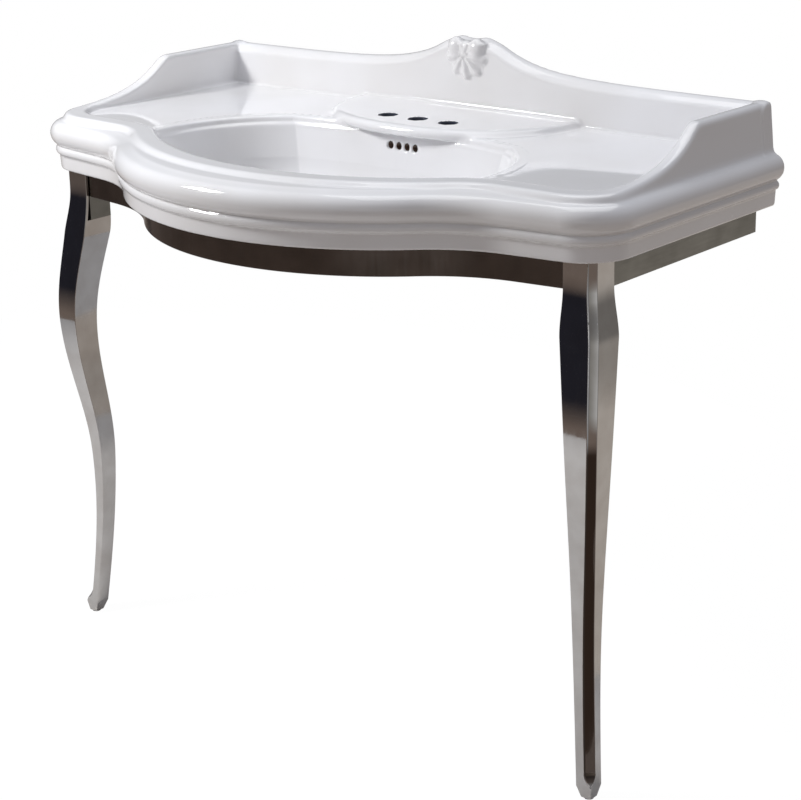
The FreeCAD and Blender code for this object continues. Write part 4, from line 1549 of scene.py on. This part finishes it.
# ---------------------------------------------------------------- studio
@dataclass(frozen=True)
class SoftBox:
    """A rectangular soft box that points at a target. Its power is in watts."""

    name: str
    place: tuple[float, float, float]
    target: tuple[float, float, float]
    size: tuple[float, float]
    power: float

    def build(self) -> None:
        """Add the lamp to the scene."""
        data = bpy.data.lights.new(self.name, "AREA")
        data.shape = "RECTANGLE"
        data.size = self.size[0] * MM
        data.size_y = self.size[1] * MM
        data.energy = self.power
        lamp = bpy.data.objects.new(self.name, data)
        spot = Vector(self.place) * MM
        aim = Vector(self.target) * MM - spot
        lamp.matrix_world = (Matrix.Translation(spot)
                             @ aim.to_track_quat("-Z", "Y").to_matrix().to_4x4())
        bpy.context.scene.collection.objects.link(lamp)


@dataclass
class Studio:
    """A white sweep in a dark room, soft boxes and the photograph's camera.

    The spans give the parts of a direction, of length 1, over which a value rises from 0 to 1.
    """

    camera_place: tuple[float, float, float] = (1863.3, -2059.4, 1376.6)
    azimuth: float = 40.0
    pitch: float = 18.7
    roll: float = -1.1
    focal_pixels: float = 2001.0
    centre: tuple[float, float] = (425.8, 398.3)
    boxes: tuple[SoftBox, ...] = (
        SoftBox("key_box", (-1000, -900, 1700), (0, 0, 800), (380, 300), 20),
        SoftBox("top_box", (200, 250, 2300), (0, 60, 800), (1300, 1300), 9.6))
    paper_centre: tuple[float, float] = (-750.0, 0.0)
    paper_radius: float = 1500.0
    paper_sides: int = 96
    paper: str = "#f4f1ee"
    paper_white: float = 0.93
    paper_glow: float = 1.045
    room_by_height: tuple[tuple[float, str], ...] = (
        (0.55, "#3a3a3c"), (0.75, "#8c8c90"), (1.0, "#c4c6cc"))
    room_by_side: tuple[tuple[float, str], ...] = (
        (0.10, "#27272f"), (0.55, "#27272f"), (0.70, "#d6d6d8"), (1.0, "#8c8a86"))
    back_wall: str = "#7e7b79"
    back_floor: str = "#c4bdb7"
    far_floor: str = "#7d7069"
    low_fill: str = "#938980"
    high_fill: str = "#9aa0ac"
    spans: tuple[tuple[str, str, float, float], ...] = (
        ("height", "Z", -1.0, 1.0), ("side", "X", -1.0, 1.0), ("behind", "Y", 0.35, 0.75),
        ("near_level", "Z", -0.26, -0.12), ("upper", "Z", 0.05, 0.30),
        ("overhead", "Z", -0.2, 0.9))

    def build(self) -> None:
        """Make the camera, the lamps, the world and the floor."""
        bpy.context.scene.view_settings.view_transform = "Standard"
        self.make_camera()
        self.make_world()
        self.make_floor()
        for box in self.boxes:
            box.build()

    def make_camera(self) -> None:
        """Place the camera by its azimuth, pitch and roll, with the photo's frame."""
        azimuth = math.radians(self.azimuth)
        pitch = math.radians(self.pitch)
        roll = math.radians(self.roll)
        forward = Vector((-math.sin(azimuth) * math.cos(pitch),
                          math.cos(azimuth) * math.cos(pitch), -math.sin(pitch)))
        right = Vector((math.cos(azimuth), math.sin(azimuth), 0))
        up = right.cross(forward)
        right_turned = right * math.cos(roll) + up * math.sin(roll)
        up_turned = up * math.cos(roll) - right * math.sin(roll)
        matrix = Matrix((right_turned, up_turned, -forward)).transposed().to_4x4()
        matrix.translation = Vector(self.camera_place) * MM
        data = bpy.data.cameras.new("camera")
        data.sensor_width = 36
        data.lens = self.focal_pixels / IMAGE_WIDTH * data.sensor_width
        data.shift_x = (IMAGE_WIDTH / 2 - self.centre[0]) / IMAGE_WIDTH
        data.shift_y = (self.centre[1] - IMAGE_HEIGHT / 2) / IMAGE_WIDTH
        data.clip_start = 0.01
        data.clip_end = 100
        camera = bpy.data.objects.new("camera", data)
        camera.matrix_world = matrix
        bpy.context.scene.collection.objects.link(camera)
        bpy.context.scene.camera = camera

    def make_world(self) -> None:
        """Make the room: white to the camera, soft light, and a darker room in the steel.

        In reflections the room is grey from the horizon up and behind the camera, near
        black in front on the left, and brown below the horizon, past the paper's edge.
        """
        world = bpy.data.worlds.new("room")
        bpy.context.scene.world = world
        world.use_nodes = True
        tree = world.node_tree
        tree.nodes.remove(tree.nodes["Background"])
        direction = add_node(tree, "ShaderNodeTexCoord")["Generated"]
        split = add_node(tree, "ShaderNodeSeparateXYZ", {"Vector": direction})
        values = {}
        for name, axis, low, high in self.spans:
            values[name] = add_node(tree, "ShaderNodeMapRange", {
                "Value": split[axis], "From Min": low, "From Max": high})["Result"]
        for name, stops in (("height", self.room_by_height), ("side", self.room_by_side)):
            values[name] = add_node(tree, "ShaderNodeValToRGB", {"Fac": values[name]},
                                    stops)["Color"]
        for name, share, first, second in (
                ("level", "behind", "side", self.back_wall),
                ("lower", "behind", self.far_floor, self.back_floor),
                ("around", "near_level", "lower", "level"),
                ("seen", "upper", "around", "height"),
                ("fill", "overhead", self.low_fill, self.high_fill)):
            values[name] = add_node(tree, "ShaderNodeMix", {
                0: values[share], 6: values.get(first, first),
                7: values.get(second, second)}, data_type="RGBA")[2]
        ray = add_node(tree, "ShaderNodeLightPath")
        light = add_node(tree, "ShaderNodeBackground", {"Color": values["fill"]})[0]
        for kind, colour in (("Is Glossy Ray", values["seen"]), ("Is Camera Ray", "#ffffff")):
            seen = add_node(tree, "ShaderNodeBackground", {"Color": colour})[0]
            light = add_node(tree, "ShaderNodeMixShader", {0: ray[kind], 1: light, 2: seen})[0]
        connect(tree.nodes["World Output"], {"Surface": light})

    def make_floor(self) -> None:
        """Make the white paper that the object stands on, a disc.

        The camera sees it almost as the white room, with a trace of the object's shadow.
        """
        turns = np.linspace(0, 2 * math.pi, self.paper_sides + 1)[:-1]
        rim = np.stack([np.cos(turns), np.sin(turns), np.zeros_like(turns)], axis=1)
        middle = np.array([[*self.paper_centre, 0.0]])
        points = np.vstack([rim * self.paper_radius + middle, middle])
        around = np.arange(len(turns))
        faces = np.stack([around, np.roll(around, -1), np.full(len(turns), len(turns))],
                         axis=1)
        material = bpy.data.materials.new("white_paper")
        material.use_nodes = True
        tree = material.node_tree
        tree.nodes.remove(tree.nodes["Principled BSDF"])
        ray = add_node(tree, "ShaderNodeLightPath")
        paper = add_node(tree, "ShaderNodeBsdfDiffuse", {"Color": self.paper})
        bright = add_node(tree, "ShaderNodeEmission", {
            "Color": "#ffffff", "Strength": self.paper_glow})
        share = add_node(tree, "ShaderNodeMath", {
            0: ray["Is Camera Ray"], 1: self.paper_white}, operation="MULTIPLY")
        mix = add_node(tree, "ShaderNodeMixShader", {0: share[0], 1: paper[0], 2: bright[0]})
        connect(tree.nodes["Material Output"], {"Surface": mix[0]})
        make_piece("paper_sweep", points, faces, material)


# ---------------------------------------------------------------- assembly
def main() -> None:
    """Load the frame, dress its pieces, build the finer ones and set the studio."""
    logging.basicConfig(level=logging.INFO, format="%(message)s")
    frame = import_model()
    finishes = {finish: finish.value.build() for finish in Finish}
    slots = {row["node"]: row["material_slot"] for row in frame["record"]["subparts"]}
    for name, node in frame["nodes"].items():
        node.data.materials.clear()
        node.data.materials.append(finishes[FINISH_OF_SLOT[slots[name]]])
        log.info("%s: dressed", name)
    basin = Basin()
    pieces = {"basin": basin.build(finishes[Finish.GLAZE])}
    pieces["front_apron"] = Apron(basin.skirt.plan).build(finishes[Finish.APRON])
    pieces.update(Leg().build(finishes[Finish.POLISHED]))
    for name, piece in pieces.items():
        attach(piece, "root")
        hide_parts(name)
        log.info("%s: %d faces", name, len(piece.data.polygons))
    Studio().build()


if __name__ == "__main__":
    main()
